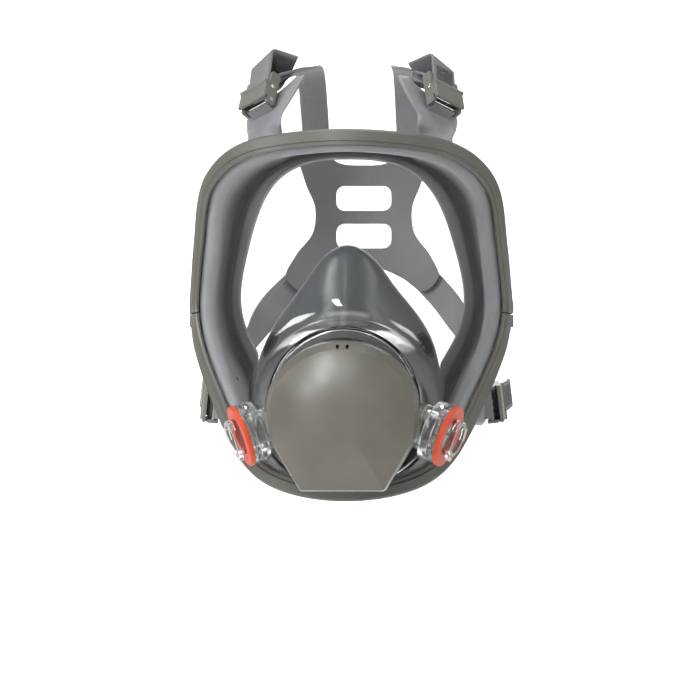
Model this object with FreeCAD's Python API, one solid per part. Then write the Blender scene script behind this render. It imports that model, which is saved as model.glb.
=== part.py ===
"""Full-face respirator for spray painting: a curved clear window in a two-piece frame, a rubber face seal with four
strap tabs, a nose cup, a centre adapter with speech diaphragm and exhalation valve under a snap-on cover, two
bayonet filter ports with orange gaskets, and a four-strap head harness with a pad behind the head.

Row frame in millimetres: +X to the viewer's right when facing the mask, +Y towards the wearer, +Z up.
The origin is on the mask's middle plane, level with the joints of the frame halves, which are the rearmost
points of the window's rim.  Each STEP file in parts/ is one node; pieces on the right side have x above 0.
"""
import FreeCAD, Part
import math
import os

V = FreeCAD.Vector

# ---------------------------------------------------------------- driving dimensions
WINDOW_R = 94.5            # the window is part of an upright cylinder
WINDOW_FRONT_Y = -60.0     # its foremost line
WINDOW_AXIS_Y = WINDOW_FRONT_Y + WINDOW_R
LENS_T = 2.2
BOSS_Z = -50.0             # height of the adapter boss's axis, which runs along Y
BOSS_FRONT_Y = -87.0
BOSS_R = 42.0              # front edge of the boss
BOSS_SLOPE = 4.0           # mm back for each mm outward on the boss's cone
BOSS_EDGE_R = 3.2
BOSS_FOOT_R = 12.0         # blend between the boss and the window
HOLE_R = 30.5              # adapter hole in the boss
NECK_R = 30.0              # adapter neck through that hole
STRAP_W = 17.0
STRAP_T = 1.8
GAP = 0.3                  # running space between bodies

# Half outlines from the top centre round the +X side to the bottom centre, as (x, z) or (x, y, z).
RIM_HALF = [(0, 98.5), (36.1, 96.3), (63.4, 89.2), (78.8, 74.8), (84.4, 50.4), (87.1, 23.2), (88.2, 1.8),
            (84.6, -19.8), (75.9, -42.5), (64.7, -66.7), (48.7, -88), (26.1, -97.9), (0, -100.7)]
OPENING_HALF = [(0, -20, 88), (21.7, -18, 86), (41.1, -8, 75.9), (53.5, 4, 55.4), (60.6, 13, 31.9), (64.2, 19, 7.3),
                (59.6, 21, -12.2), (50.3, 18, -29.3), (41.5, 14, -50), (31.5, 9, -70), (17.5, 5, -84.5),
                (0, 4, -89.5)]
CUP_EDGE_HALF = [(0, -28, 36), (10, -26, 32), (23.4, -18, 15.5), (38.5, -9, -4.5), (46.8, -6, -23), (46.5, -7, -44),
                 (38, -11, -65), (26.5, -15.5, -78), (14, -19.5, -85), (0, -21, -87)]
COVER_HALF = [(0, -15.3), (13.5, -16.9), (23.3, -21.2), (30.3, -26.7), (36.0, -32.9), (40.6, -41.0), (42.2, -50.0),
              (42.0, -60.0), (39.8, -70.2), (34.3, -81.2), (27.3, -92.2), (23.4, -98.6)]

# Frame section: outward in the window's surface, then along the window's outward normal.
FRAME_SECTION = [(-5.0, 0.3), (-5.0, 1.5), (-4.2, 2.3), (-2.4, 2.3), (-1.9, 3.3), (3.2, 3.3), (4.5, 2.0),
                 (4.5, -6.4), (3.4, -7.5), (-4.4, -7.5), (-5.0, -6.9), (-5.0, -5.6), (0.5, -5.6), (0.5, 0.3)]
FRAME_STATIONS = 26
RING_STATIONS = 26

# Filter ports: centre of the gasket's outer face and the direction that the port points, on the +X side.
PORT_FACE = V(58.8, -72.0, -69.0)
PORT_AXIS = V(0.905, -0.245, -0.348).normalize()
PORT_BORE_R = 8.0
PORT_STUB_R = 10.6
PORT_END = 4.8             # how far the stub stands out past the gasket's face
GASKET_R = 17.5
GASKET_T = 3.0

# Strap buckles on the +X side: pin centre, strap direction, outward normal.
UPPER_PIN = V(53, 5, 119.5)
UPPER_ALONG = V(-0.135, 0.605, 0.785)
UPPER_OUT = V(0.6755, -0.5235, 0.5196)
LOWER_PIN = V(80, 27, -52)
LOWER_ALONG = V(0.10, 0.985, 0.14)
LOWER_OUT = V(0.985, -0.115, 0.10)
PIN_R = 1.2
KNUCKLE_R = 2.7
ROLLER_V, ROLLER_W, ROLLER_R = 9.0, 0.6, 1.5
CHEEK_IN, CHEEK_OUT = 8.9, 10.7   # faces of a buckle's cheeks, across from its middle

PARTS = "parts"
os.makedirs(PARTS, exist_ok=True)


def save(name, shape):
    """Writes one node and says how big it is."""
    shape.exportStep(f"{PARTS}/{name}.step")
    solids = shape.Solids
    ok = all(s.isValid() and s.Volume > 0 for s in solids)
    print(f"{name}: {len(solids)} solid(s), {sum(s.Volume for s in solids):.0f} mm3, {'ok' if ok else 'BAD'}")


def mirrored(shape):
    return shape.mirror(V(0, 0, 0), V(1, 0, 0))


def flip(v):
    return V(-v.x, v.y, v.z)


def port_places():
    """Gasket face centre and outward direction of the right and the left port."""
    return [(PORT_FACE, PORT_AXIS), (flip(PORT_FACE), flip(PORT_AXIS))]


# ---------------------------------------------------------------- closed outlines and their stations
def half_outline(half):
    """A smooth curve down the +X side that leaves and meets the middle plane squarely."""
    points = [V(p[0], p[1] if len(p) == 3 else 0, p[-1]) for p in half]
    steps = [(b - a).Length for a, b in zip(points, points[1:])]
    slopes = [V(1, 0, 0)] + [V(0, 0, 0)] * (len(points) - 2) + [V(-1, 0, 0)]
    for _ in range(60):                       # settles on the slopes that keep the curvature continuous
        for i in range(1, len(points) - 1):
            h, k = steps[i - 1], steps[i]
            chords = (points[i] - points[i - 1]) * (3 * k / h) + (points[i + 1] - points[i]) * (3 * h / k)
            slopes[i] = (chords - slopes[i - 1] * k - slopes[i + 1] * h) * (0.5 / (h + k))
    poles, knots = [points[0]], [0.0]
    for i, step in enumerate(steps):
        poles += [points[i] + slopes[i] * (step / 3), points[i + 1] - slopes[i + 1] * (step / 3), points[i + 1]]
        knots.append(knots[-1] + step)
    curve = Part.BSplineCurve()
    curve.buildFromPolesMultsKnots(poles, [4] + [3] * (len(points) - 2) + [4], knots, False, 3)
    return curve


def at_share(curve, share):
    """Point and unit tangent at a share of the whole outline's length, counted from the top centre to +X and round."""
    share %= 1.0
    first, last = curve.FirstParameter, curve.LastParameter
    u = curve.parameterAtDistance(curve.length(first, last) * 2 * min(share, 1 - share), first)
    point, tangent = curve.value(u), V(*curve.tangent(u)[0])
    return (point, tangent) if share <= 0.5 else (flip(point), V(tangent.x, -tangent.y, -tangent.z))


RIM = half_outline(RIM_HALF)
OPENING = half_outline(OPENING_HALF)
CUP_EDGE = half_outline(CUP_EDGE_HALF)


def window_y(x):
    return WINDOW_AXIS_Y - math.sqrt(WINDOW_R ** 2 - x ** 2)


def rim_frame(share):
    """Point on the window's rim, with its tangent, outward in-surface direction and surface normal."""
    p, t = at_share(RIM, share)
    sin_a = p.x / WINDOW_R
    cos_a = math.sqrt(1 - sin_a ** 2)
    normal = V(sin_a, -cos_a, 0)
    tangent = V(t.x, t.x * sin_a / cos_a, t.z).normalize()
    return V(p.x, window_y(p.x), p.z), tangent, normal.cross(tangent), normal


def share_of_height(z):
    """Share of the rim, on the +X side, that lies at height z."""
    low, high = 0.0, 0.5
    for _ in range(40):
        mid = (low + high) / 2
        if at_share(RIM, mid)[0].z > z:
            low = mid
        else:
            high = mid
    return low


# ---------------------------------------------------------------- solids from sections
def unit(v):
    return V(v).normalize()


def closed_wire(points):
    return Part.makePolygon(points + points[:1])


def loft(wires):
    return Part.makeLoft(wires, True, False)


def spline_edge(points):
    curve = Part.BSplineCurve()
    curve.interpolate(points)
    return curve.toShape()


def half_shares():
    return [0.5 * i / RING_STATIONS for i in range(RING_STATIONS + 1)]


def rim_section(share, corners):
    """Points given outward in the window's surface and along its normal, at a station of the rim."""
    p, _, b, n = rim_frame(share)
    return [p + b * c[0] + n * c[1] for c in corners]


def skin_section(centres, halves, across):
    """Both sides of a thin wall: its centre line moved by the half thicknesses."""
    last = len(centres) - 1
    one, two = [], []
    for i, (centre, half) in enumerate(zip(centres, halves)):
        into = unit(centres[max(i, 1)] - centres[max(i, 1) - 1])
        onward = unit(centres[min(i, last - 1) + 1] - centres[min(i, last - 1)])
        n = unit(across.cross(into + onward))
        reach = half / max(0.75, n.dot(unit(across.cross(into))))
        one.append(centre + n * reach)
        two.append(centre - n * reach)
    return one + two[::-1]


def ring_of_sections(sections):
    """A ring through sections down the +X side, from middle plane to middle plane, and their mirror image."""
    last = len(sections) - 1
    sections = [[V(0, p.y, p.z) if i in (0, last) else p for p in section] for i, section in enumerate(sections)]
    rails = []
    for points in zip(*sections):             # each rail starts and ends beyond the middle plane, so it crosses it squarely
        before, after = [flip(p) for p in points[4:0:-1]], [flip(p) for p in points[-2:-6:-1]]
        curve = Part.BSplineCurve()
        curve.interpolate(Points=before + list(points) + after, Parameters=[float(i) for i in range(last + 9)])
        curve.segment(4.0, last + 4.0)
        rails.append(curve.toShape())
    half = [Part.makeRuledSurface(a, b) for a, b in zip(rails, rails[1:] + rails[:1])]
    shell = Part.makeShell(half + [mirrored(face) for face in half])
    shell.sewShape()
    solid = Part.makeSolid(shell)
    if solid.Volume < 0:
        solid.reverse()
    return solid


def cylinder(radius, start, end, axis=V(0, 1, 0), at=V(0, 0, 0)):
    """A cylinder about a line through at, between two distances along the axis."""
    axis = V(axis).normalize()
    return Part.makeCylinder(radius, end - start, at + axis * start, axis)


def tube(outer, inner, start, end, axis=V(0, 1, 0), at=V(0, 0, 0)):
    return cylinder(outer, start, end, axis, at).cut(cylinder(inner, start - 1, end + 1, axis, at))


def local_placement(at, u, v, w):
    m = FreeCAD.Matrix(u.x, v.x, w.x, at.x, u.y, v.y, w.y, at.y, u.z, v.z, w.z, at.z, 0, 0, 0, 1)
    return FreeCAD.Placement(m)


# ---------------------------------------------------------------- window
def window_block(inset, foot_r, edge_r):
    """The drum and the boss's cone as one solid, with its skin drawn in by an inset."""
    lean = math.hypot(1, BOSS_SLOPE)
    front = BOSS_FRONT_Y + inset
    radius = BOSS_R + inset / BOSS_SLOPE - inset * lean / BOSS_SLOPE
    drum = Part.makeCylinder(WINDOW_R - inset, 280, V(0, WINDOW_AXIS_Y, -140), V(0, 0, 1))
    cone = Part.makeCone(radius, radius + 80 / BOSS_SLOPE, 80, V(0, front, BOSS_Z), V(0, 1, 0))
    block = drum.fuse(cone)
    block = block.makeFillet(foot_r, [e for e in block.Edges if e.BoundBox.YMax < 0 and e.BoundBox.YLength > 5])
    return block.makeFillet(edge_r, [e for e in block.Edges if abs(e.BoundBox.YMax - front) < 0.01])


def make_lens():
    lens = window_block(0, BOSS_FOOT_R, BOSS_EDGE_R).cut(window_block(LENS_T, BOSS_FOOT_R + LENS_T, 1.2))
    lens = lens.common(Part.makeBox(220, 110, 230, V(-110, -98, -115)))
    trim = loft([closed_wire(rim_section(0.5 * i / RING_STATIONS, [(0, 5), (10, 5), (10, -5), (0, -5)]))
                 for i in range(-1, RING_STATIONS + 2)])
    lens = max(lens.cut(trim).cut(mirrored(trim)).Solids, key=lambda solid: solid.Volume)
    for face, axis in port_places():
        lens = lens.fuse(cylinder(17.2, -17.0, -7.0, axis, face))
    for face, axis in port_places():
        lens = lens.cut(cylinder(13.2, -30.0, 0.0, axis, face))
    return lens.cut(cylinder(HOLE_R, -95, -70, at=V(0, 0, BOSS_Z)))


# ---------------------------------------------------------------- frame
JOINT_SHARE = share_of_height(0.0)
EAR_HOLE_B, EAR_HOLE_N = 8.4, -2.6         # frame screw, outward and along the normal from the rim


def frame_arc(start, end):
    step = (end - start) / FRAME_STATIONS
    return loft([closed_wire(rim_section(start + step * i, FRAME_SECTION)) for i in range(FRAME_STATIONS + 1)])


def ear(z0, z1):
    """Screw ear on the +X side, behind the frame, between two heights."""
    p, _, b, n = rim_frame(JOINT_SHARE)
    corners = [(4.0, -6.2), (4.0, 1.4), (10.2, 1.4), (12.0, -0.4), (12.0, -4.8), (10.6, -6.2)]
    flat = [V((p + b * c[0] + n * c[1]).x, (p + b * c[0] + n * c[1]).y, z0) for c in corners]
    return Part.Face(closed_wire(flat)).extrude(V(0, 0, z1 - z0))


def ear_axis():
    p, _, b, n = rim_frame(JOINT_SHARE)
    q = p + b * EAR_HOLE_B + n * EAR_HOLE_N
    return V(q.x, q.y, 0)


def make_frames():
    half_gap = 0.0006
    upper = frame_arc(-JOINT_SHARE + half_gap, JOINT_SHARE - half_gap)
    lower = frame_arc(JOINT_SHARE + half_gap, 1 - JOINT_SHARE - half_gap)
    up, screw = V(0, 0, 1), ear_axis()
    for at in (screw, flip(screw)):
        side = 1 if at.x > 0 else -1
        top, bottom = ear(0.5, 7.5), ear(-7.5, -0.5)
        if side < 0:
            top, bottom = mirrored(top), mirrored(bottom)
        upper = upper.fuse(top).cut(cylinder(1.65, -10, 10, up, at))
        lower = lower.fuse(bottom).cut(cylinder(1.65, -10, 10, up, at))
    return upper, lower


def make_frame_screws():
    """Pan-head screw down through both ears, with a hexagon nut under them, on each side."""
    up, at = V(0, 0, 1), ear_axis()
    shank = cylinder(1.5, -10.4, 7.5, up, at)
    head = cylinder(2.7, 7.55, 9.4, up, at)
    head = head.makeFillet(0.7, [e for e in head.Edges if abs(e.CenterOfMass.z - 9.4) < 0.01])
    slot = Part.makeBox(0.8, 6, 0.8, V(at.x - 0.4, at.y - 3, 8.8))
    screw = shank.fuse(head.fuse(cylinder(1.5, 7.0, 8.0, up, at))).cut(slot).removeSplitter()
    hexagon = [V(at.x + 2.9 * math.cos(math.radians(60 * k)), at.y + 2.9 * math.sin(math.radians(60 * k)), -9.9)
               for k in range(6)]
    nut = Part.Face(closed_wire(hexagon)).extrude(V(0, 0, 2.3)).cut(cylinder(1.55, -12, 0, up, at))
    return screw, nut


# ---------------------------------------------------------------- face seal
SEAL_HALVES = [1.3, 1.3, 1.25, 1.1, 1.0, 1.0, 0.9, 0.8, 0.5]


def seal_centres(share):
    """Centre line of the bead in the frame's channel, the side wall, the fold and the flange on the face."""
    p, _, b, n = rim_frame(share)
    edge = at_share(OPENING, share)[0]

    span = math.hypot(p.x - edge.x, p.z - edge.z)

    def between(k, least, y):
        k = max(k, least / span)
        return V(edge.x + (p.x - edge.x) * k, y, edge.z + (p.z - edge.z) * k)

    fold_y = edge.y + 14.0
    wall_y = p.y * 0.42 + fold_y * 0.58
    return [p + b * -0.2 + n * -4.05, p + b * -5.0 + n * -4.05, p + b * -7.8 + n * -5.6, p + b * -7.6 + n * -9.4,
            between(0.58, 9.0, wall_y), between(0.48, 8.6, fold_y - 3.0), between(0.36, 5.4, fold_y),
            between(0.19, 2.2, edge.y + 6.5), edge]


def sections_along(points, widths, thickness, side_dirs):
    """A flat bar through points, with its width along each side direction."""
    wires = []
    count = len(points)
    for i, p in enumerate(points):
        along = unit(points[min(i + 1, count - 1)] - points[max(i - 1, 0)])
        side = side_dirs[i]
        side = unit(side - along * side.dot(along))
        up = along.cross(side)
        half, t = widths[i] / 2, thickness / 2
        corners = [p + side * half + up * t, p - side * half + up * t, p - side * half - up * t, p + side * half - up * t]
        wires.append(closed_wire(corners))
    return wires


def buckle_axes(along, out):
    v = unit(along)
    w = unit(out - v * out.dot(v))
    return v.cross(w), v, w


def tab_knuckle(pin, along, out):
    u = buckle_axes(along, out)[0]
    return cylinder(KNUCKLE_R, -8.0, 8.0, u, pin)


UPPER_TONGUE = [(-5, -5.2, 0), (6, -6.3, 0), (17, -8.4, 0), (27, -15, -2), (36, -23.4, -4.5)]
LOWER_TONGUE = [(-5, -5.2, 0), (6, -6.4, 0), (20, -7, 0)]


def make_tab(start, middle, pin, along, out, first_side, tongue_path, widths):
    """Rubber tongue from the seal to the buckle pin and on beneath the buckle."""
    u, v, w = buckle_axes(along, out)
    points = [start, middle] + [pin + v * a + w * b + u * c for a, b, c in tongue_path]
    sides = [first_side, u * 0.7 + first_side * 0.3] + [u] * len(tongue_path)
    tongue = loft(sections_along(points, widths, 2.4, sides))
    web = Part.makeBox(16, 5, 6)
    web.Placement = local_placement(pin - u * 8 - v * 3.5 - w * 6.6, u, v, w)
    knuckle = tab_knuckle(pin, along, out)
    return tongue.fuse([web, knuckle]).cut(cylinder(PIN_R, -9, 9, u, pin))


def make_seal():
    seal = ring_of_sections([skin_section(seal_centres(s), SEAL_HALVES, rim_frame(s)[1]) for s in half_shares()])
    upper = make_tab(seal_centres(0.082)[4], V(50.5, -6, 103.5), UPPER_PIN, UPPER_ALONG, UPPER_OUT, V(-1, -0.3, 0.25),
                     UPPER_TONGUE, [24, 23, 20.5, 20.5, 19, 13, 5])
    lower = make_tab(seal_centres(share_of_height(-48))[4], V(70.5, 14.5, -50), LOWER_PIN, LOWER_ALONG, LOWER_OUT,
                     V(0, 0, 1), LOWER_TONGUE, [24, 23, 21, 22, 19])
    return seal.fuse([upper, lower, mirrored(upper), mirrored(lower)])


# ---------------------------------------------------------------- buckles, straps and head pad
def buckle_solids():
    """Buckle and roller in their own frame: x across, y along the strap, z outward, origin on the pin."""
    wide = CHEEK_OUT - CHEEK_IN
    pieces = []
    for x in (-CHEEK_OUT, CHEEK_IN):
        cheek = Part.makeBox(wide, 22.4, 6.4, V(x, -3.2, -3.0))
        pieces.append(cheek.makeFillet(1.2, [e for e in cheek.Edges if abs(e.tangentAt(e.FirstParameter).x) > 0.9]))
        pieces.append(Part.makeBox(wide, 8.4, 3, V(x, 1, 2.4)))
    plate = Part.makeBox(2 * CHEEK_OUT, 12.3, 2.0, V(-CHEEK_OUT, -1.8, 4.5))
    plate = plate.makeFillet(0.8, [e for e in plate.Edges if e.BoundBox.ZMin > 6.4])
    lip = cylinder(1.3, -CHEEK_OUT, CHEEK_OUT, V(1, 0, 0), V(0, 9.4, 6.0))
    bar = Part.makeBox(2 * CHEEK_IN + 1, 3.2, 2.2, V(-CHEEK_IN - 0.5, 15.4, -0.3))
    body = plate.fuse(pieces + [lip, bar])
    across = V(1, 0, 0)
    body = body.cut(cylinder(PIN_R + 0.06, -14, 14, across))
    seat = V(0, ROLLER_V, ROLLER_W)
    body = body.cut(cylinder(ROLLER_R + 0.05, -14, 14, across, seat)).removeSplitter()
    roller = cylinder(ROLLER_R, -CHEEK_OUT - 0.3, CHEEK_OUT + 0.3, across, seat)
    roller = roller.makeFillet(0.4, [e for e in roller.Edges if e.BoundBox.XLength < 0.01])
    return body, roller


UPPER_REST = [(31.5, -12.2), (27.5, -8.4), (22.8, -4.0), (19.0, -2.1)]
LOWER_REST = [(34.6, -7.7), (26, -3.1), (20.5, -2.0)]
UPPER_TAIL = [(19.5, 4.2), (24, 6.8), (27.2, 9), (28.8, 9.8), (30.4, 9.4), (33, 6.6), (35.5, 2.5), (37, -1.5)]
LOWER_TAIL = [(22, 4.2), (30, 5.4), (42, 6.2)]


def strap_front_solid(rest, tail):
    """The strap's threaded end in the buckle's frame: up under the roller, round it, and out as the free tail."""
    r, t = ROLLER_R + 0.1 + STRAP_T / 2, STRAP_T / 2
    low, high = ROLLER_W - r, ROLLER_W + r
    centre = [V(0, y, z) for y, z in rest] + [V(0, ROLLER_V + 7, low), V(0, ROLLER_V, low)]
    centre += [V(0, ROLLER_V - r * math.sin(math.radians(a)), ROLLER_W - r * math.cos(math.radians(a)))
               for a in (30, 60, 90, 120, 150)]
    centre += [V(0, ROLLER_V, high), V(0, ROLLER_V + 6, high)] + [V(0, y, z) for y, z in tail]
    one, two = [], []
    for i, p in enumerate(centre):
        along = centre[min(i + 1, len(centre) - 1)] - centre[max(i - 1, 0)]
        n = unit(V(1, 0, 0).cross(along))
        one.append(p + n * t)
        two.append(p - n * t)
    flat = Part.Face(Part.makePolygon(one + two[::-1] + one[:1]))
    flat.translate(V(-STRAP_W / 2, 0, 0))
    return flat.extrude(V(STRAP_W, 0, 0))


def placed(shape, pin, along, out):
    u, v, w = buckle_axes(along, out)
    moved = shape.copy()
    moved.Placement = local_placement(pin, u, v, w)
    return moved


PAD_R, PAD_CENTRE = 85.0, V(0, 93.5, 60.0)
PAD_T = 2.6


def pad_point(x, z, lift=0.0):
    """A point over the pad's outer surface."""
    r = PAD_R + PAD_T
    depth = math.sqrt(r ** 2 - x ** 2 - (z - PAD_CENTRE.z) ** 2)
    p = V(x, PAD_CENTRE.y + depth, z)
    return p + unit(p - PAD_CENTRE) * lift


def local_point(pin, along, out, v_dist, w_dist):
    _, v, w = buckle_axes(along, out)
    return pin + v * v_dist + w * w_dist


def make_strap_rear(upper):
    """From behind the buckle over the head to the pad's corner, on the +X side."""
    if upper:
        u, v, w = buckle_axes(UPPER_ALONG, UPPER_OUT)
        points = [local_point(UPPER_PIN, UPPER_ALONG, UPPER_OUT, 33.2, -13.8), V(31.5, 46, 141.5), V(28.5, 80, 144.5),
                  V(28.5, 114, 140), V(28.5, 144, 122.5), pad_point(27, 96, 1.8), pad_point(25, 84, 1.9)]
        sides = [u] + [V(1, 0.25, -0.35), V(1, 0, -0.3), V(1, 0, -0.25), V(1, -0.1, -0.2), V(1, -0.3, -0.1),
                       V(1, -0.3, 0)]
    else:
        u, v, w = buckle_axes(LOWER_ALONG, LOWER_OUT)
        points = [local_point(LOWER_PIN, LOWER_ALONG, LOWER_OUT, 38.5, -9.9), V(76, 88, -37), V(68, 120, -17),
                  pad_point(52, 8, 1.5), pad_point(45, 16, 1.6), pad_point(36, 25, 1.5), pad_point(27, 34, 1.4)]
        sides = [u, V(0, 0.1, 1), V(0, -0.4, 1)]
        sides += [unit(points[i] - PAD_CENTRE).cross(points[5] - points[4]) for i in (3, 4, 5, 6)]
    return loft(sections_along(points, [STRAP_W] * len(points), STRAP_T, sides))


def make_pad():
    """Rubber pad behind the head: part of a ball's shell, cut to an outline with two windows."""
    shell = Part.makeSphere(PAD_R + PAD_T, PAD_CENTRE).cut(Part.makeSphere(PAD_R, PAD_CENTRE))
    half = [(0, 92), (14, 93), (30, 102), (38, 97), (36, 82), (30, 66), (31, 52), (42, 36), (47, 24), (38, 15),
            (24, 23), (10, 29), (0, 30)]
    curve = Part.BSplineCurve()
    curve.interpolate([V(x, 100, z) for x, z in half] + [V(-x, 100, z) for x, z in reversed(half[1:-1])],
                      PeriodicFlag=True)
    body = shell.common(Part.Face(Part.Wire(curve.toShape())).extrude(V(0, 120, 0)))
    for z, wide, tall in ((72, 34, 15), (49, 34, 15)):
        window = Part.makeBox(wide, 120, tall, V(-wide / 2, 100, z - tall / 2))
        window = window.makeFillet(5, [e for e in window.Edges if abs(e.tangentAt(e.FirstParameter).y) > 0.9])
        body = body.cut(window)
    return body


# ---------------------------------------------------------------- nose cup
CUP_T = 2.0
COLLAR_R = NECK_R + 0.2
CUP_HALVES = [1.1, 1.0, 1.0, 1.0, 1.0, 1.0, 0.9, 0.7]
CUP_VALVE_SHARE = 0.215


def cup_profile(share):
    """Centre line of the cup's wall from the adapter's neck to the edge on the face."""
    edge = at_share(CUP_EDGE, share)[0]
    angle = math.atan2(edge.x, edge.z - BOSS_Z)
    sx, sz = math.sin(angle), math.cos(angle)
    r = COLLAR_R + 1.1

    def ring(radius, y):
        return V(sx * radius, y, BOSS_Z + sz * radius)

    reach = math.hypot(edge.x, edge.z - BOSS_Z)
    start, end = ring(r + 1.0, -60.0), ring(reach + 1.5, edge.y - 9)
    bend = start + (end - start) * 0.5 + V(sx, 0, sz) * (3.5 - 3.0 * max(0.0, sz))
    inward = V(edge.x - sx * 4.5, edge.y + 2.5, edge.z - sz * 4.5)
    return [ring(r, -78.5), ring(r, -69), start, bend, end, V(edge.x + sx * 1.2, edge.y - 3, edge.z + sz * 1.2),
            V(edge.x - sx * 1.2, edge.y + 0.8, edge.z - sz * 1.2), inward]


def cup_valve_place():
    """Centre of the cup's right valve in the middle of the wall, and the wall's outward direction there."""
    profile = cup_profile(CUP_VALVE_SHARE)
    along = profile[4] - profile[3]
    outward = unit(along.cross(at_share(CUP_EDGE, CUP_VALVE_SHARE)[1]))
    return (profile[3] + profile[4]) * 0.5, outward if outward.y < 0 else outward * -1


def make_nose_cup():
    cup = ring_of_sections([skin_section(cup_profile(s), CUP_HALVES, at_share(CUP_EDGE, s)[1]) for s in half_shares()])
    cup = cup.cut(cylinder(COLLAR_R, -90, -69.5, at=V(0, 0, BOSS_Z)))
    at, axis = cup_valve_place()
    for place, outward in ((at, axis), (flip(at), flip(axis))):
        cup = cup.cut(cylinder(8.2, -14, 14, outward, place))
    return cup


# ---------------------------------------------------------------- valves
def valve_seat(outer, bore, hub, start, end, post_end, head_r):
    """A seat ring with three spokes to a hub, and a post that carries the valve disc on the inner side.
    Distances are along +Z, outward; the disc lies below start."""
    up = V(0, 0, 1)
    ring = tube(outer, bore, start, end, up)
    pieces = [cylinder(hub, start, end, up), cylinder(1.4, post_end - 1.0, start + 0.2, up),
              cylinder(head_r, post_end - 1.0, post_end, up)]
    for k in range(3):
        spoke = Part.makeBox(bore + 0.6, 1.6, end - start, V(0, -0.8, start))
        spoke.rotate(V(0, 0, 0), up, 90 + 120 * k)
        pieces.append(spoke)
    return ring.fuse(pieces).removeSplitter()


def valve_disc(radius, bottom, top):
    return tube(radius, 1.6, bottom, top, V(0, 0, 1))


def along_axis(shape, axis, at, turn=0.0):
    """Moves a shape made about +Z so that +Z points along axis and its origin lies at the given point."""
    moved = shape.copy()
    moved.Placement = FreeCAD.Placement(at, FreeCAD.Rotation(V(0, 0, 1), V(axis)))
    if turn:
        moved.rotate(at, V(axis), turn)
    return moved


def make_port():
    """Clear bayonet port about +Z, with its gasket's outer face at z = 0."""
    up = V(0, 0, 1)
    body = tube(13.0, PORT_BORE_R + 0.5, -18.6, -6.5, up)
    body = body.fuse([tube(17.2, PORT_BORE_R + 0.5, -6.9, -5.3, up), tube(17.2, 15.2, -5.5, -2.95, up),
                      tube(PORT_STUB_R, PORT_BORE_R, -5.5, PORT_END, up)])
    for k in range(6):
        rib = Part.makeBox(5.2, 1.6, 2.4, V(PORT_STUB_R - 0.4, -0.8, -5.5))
        rib.rotate(V(0, 0, 0), up, 60 * k + 15)
        body = body.fuse(rib)
    for k in range(3):
        lug = tube(12.9, PORT_STUB_R - 0.4, PORT_END - 2.2, PORT_END, up)
        wedge = Part.makePolygon([V(0, 0, 0), V(20, 7.3, 0), V(20, -7.3, 0), V(0, 0, 0)])
        wedge = Part.Face(wedge).extrude(V(0, 0, 10))
        wedge.rotate(V(0, 0, 0), up, 120 * k - 30)
        body = body.fuse(lug.common(wedge))
    body = body.cut(tube(11.4, 9.6, -19, -18.0, up))
    seat = valve_seat(8.9, PORT_BORE_R - 0.6, 2.4, -18.6, -16.6, -20.8, 2.6)
    return body.fuse(seat).removeSplitter()


def make_port_gasket():
    ring = tube(GASKET_R, PORT_STUB_R + 0.2, -2.9, 0, V(0, 0, 1))
    return ring.makeFillet(0.5, [e for e in ring.Edges if e.BoundBox.XLength > 2 * GASKET_R - 0.1])


# ---------------------------------------------------------------- centre adapter, about -Y at the boss's axis
ADAPTER_AT = V(0, 0, BOSS_Z)
FORWARD = V(0, -1, 0)
DIAPHRAGM_Z = BOSS_Z + 14.0
EXHALE_Z = BOSS_Z - 13.5
PLATE_BACK, PLATE_FRONT = 87.9, 90.6


def make_adapter():
    """Flanged housing: the upper opening holds the speech diaphragm, the lower one the exhalation valve's seat."""
    at = ADAPTER_AT
    flange = cylinder(32.6, 88.2, PLATE_FRONT, FORWARD, at)
    neck = tube(NECK_R, 27.6, 69.0, 88.6, FORWARD, at)
    body = flange.fuse(neck)
    body = body.cut(cylinder(11.6, 80, 95, FORWARD, V(0, 0, DIAPHRAGM_Z)))
    body = body.cut(cylinder(11.8, 80, 95, FORWARD, V(0, 0, EXHALE_Z)))
    for z in (DIAPHRAGM_Z, EXHALE_Z):
        for k in range(3):
            spoke = Part.makeBox(12.4, 1.6, 1.6, V(0, -0.8, 0))
            spoke.rotate(V(0, 0, 0), V(0, 0, 1), 90 + 120 * k)
            spoke = along_axis(spoke, FORWARD, V(0, -88.6, z))
            body = body.fuse(spoke)
    body = body.fuse(cylinder(3.2, 88.6, 90.2, FORWARD, V(0, 0, EXHALE_Z)))
    body = body.fuse(cylinder(3.2, 88.6, 90.2, FORWARD, V(0, 0, DIAPHRAGM_Z)))
    return body.cut(cylinder(1.5, 80, 95, FORWARD, V(0, 0, EXHALE_Z))).removeSplitter()


def make_diaphragm():
    """Thin speech film with a stiff rim, behind the housing's front plate."""
    at = V(0, 0, DIAPHRAGM_Z)
    return cylinder(12.8, 87.4, 87.8, FORWARD, at).fuse(tube(12.8, 11.4, 86.6, 88.1, FORWARD, at)).removeSplitter()


def make_diaphragm_ring():
    """Clip ring that presses the diaphragm's rim to the plate."""
    at = V(0, 0, DIAPHRAGM_Z)
    return tube(13.2, 10.8, 84.4, 86.5, FORWARD, at)


def make_exhalation_valve():
    """Rubber disc in front of the seat, with a stem through the hub and a bulb behind it."""
    at = V(0, 0, EXHALE_Z)
    disc = cylinder(13.6, 90.9, 91.8, FORWARD, at)
    stem = cylinder(1.3, 84.6, 91.0, FORWARD, at)
    bulb = Part.makeSphere(1.9, V(0, -85.2, EXHALE_Z))
    return disc.fuse([stem, bulb]).removeSplitter()


def make_adapter_nut():
    """Lock ring behind the window, with notches for a spanner."""
    ring = tube(36.5, NECK_R + 0.25, 79.2, 84.5, FORWARD, ADAPTER_AT)
    for k in range(8):
        notch = Part.makeBox(6, 6, 3.5, V(-3, -85, BOSS_Z + 34.6))
        notch.rotate(ADAPTER_AT, V(0, 1, 0), 45 * k + 22.5)
        ring = ring.cut(notch)
    return ring


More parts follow.
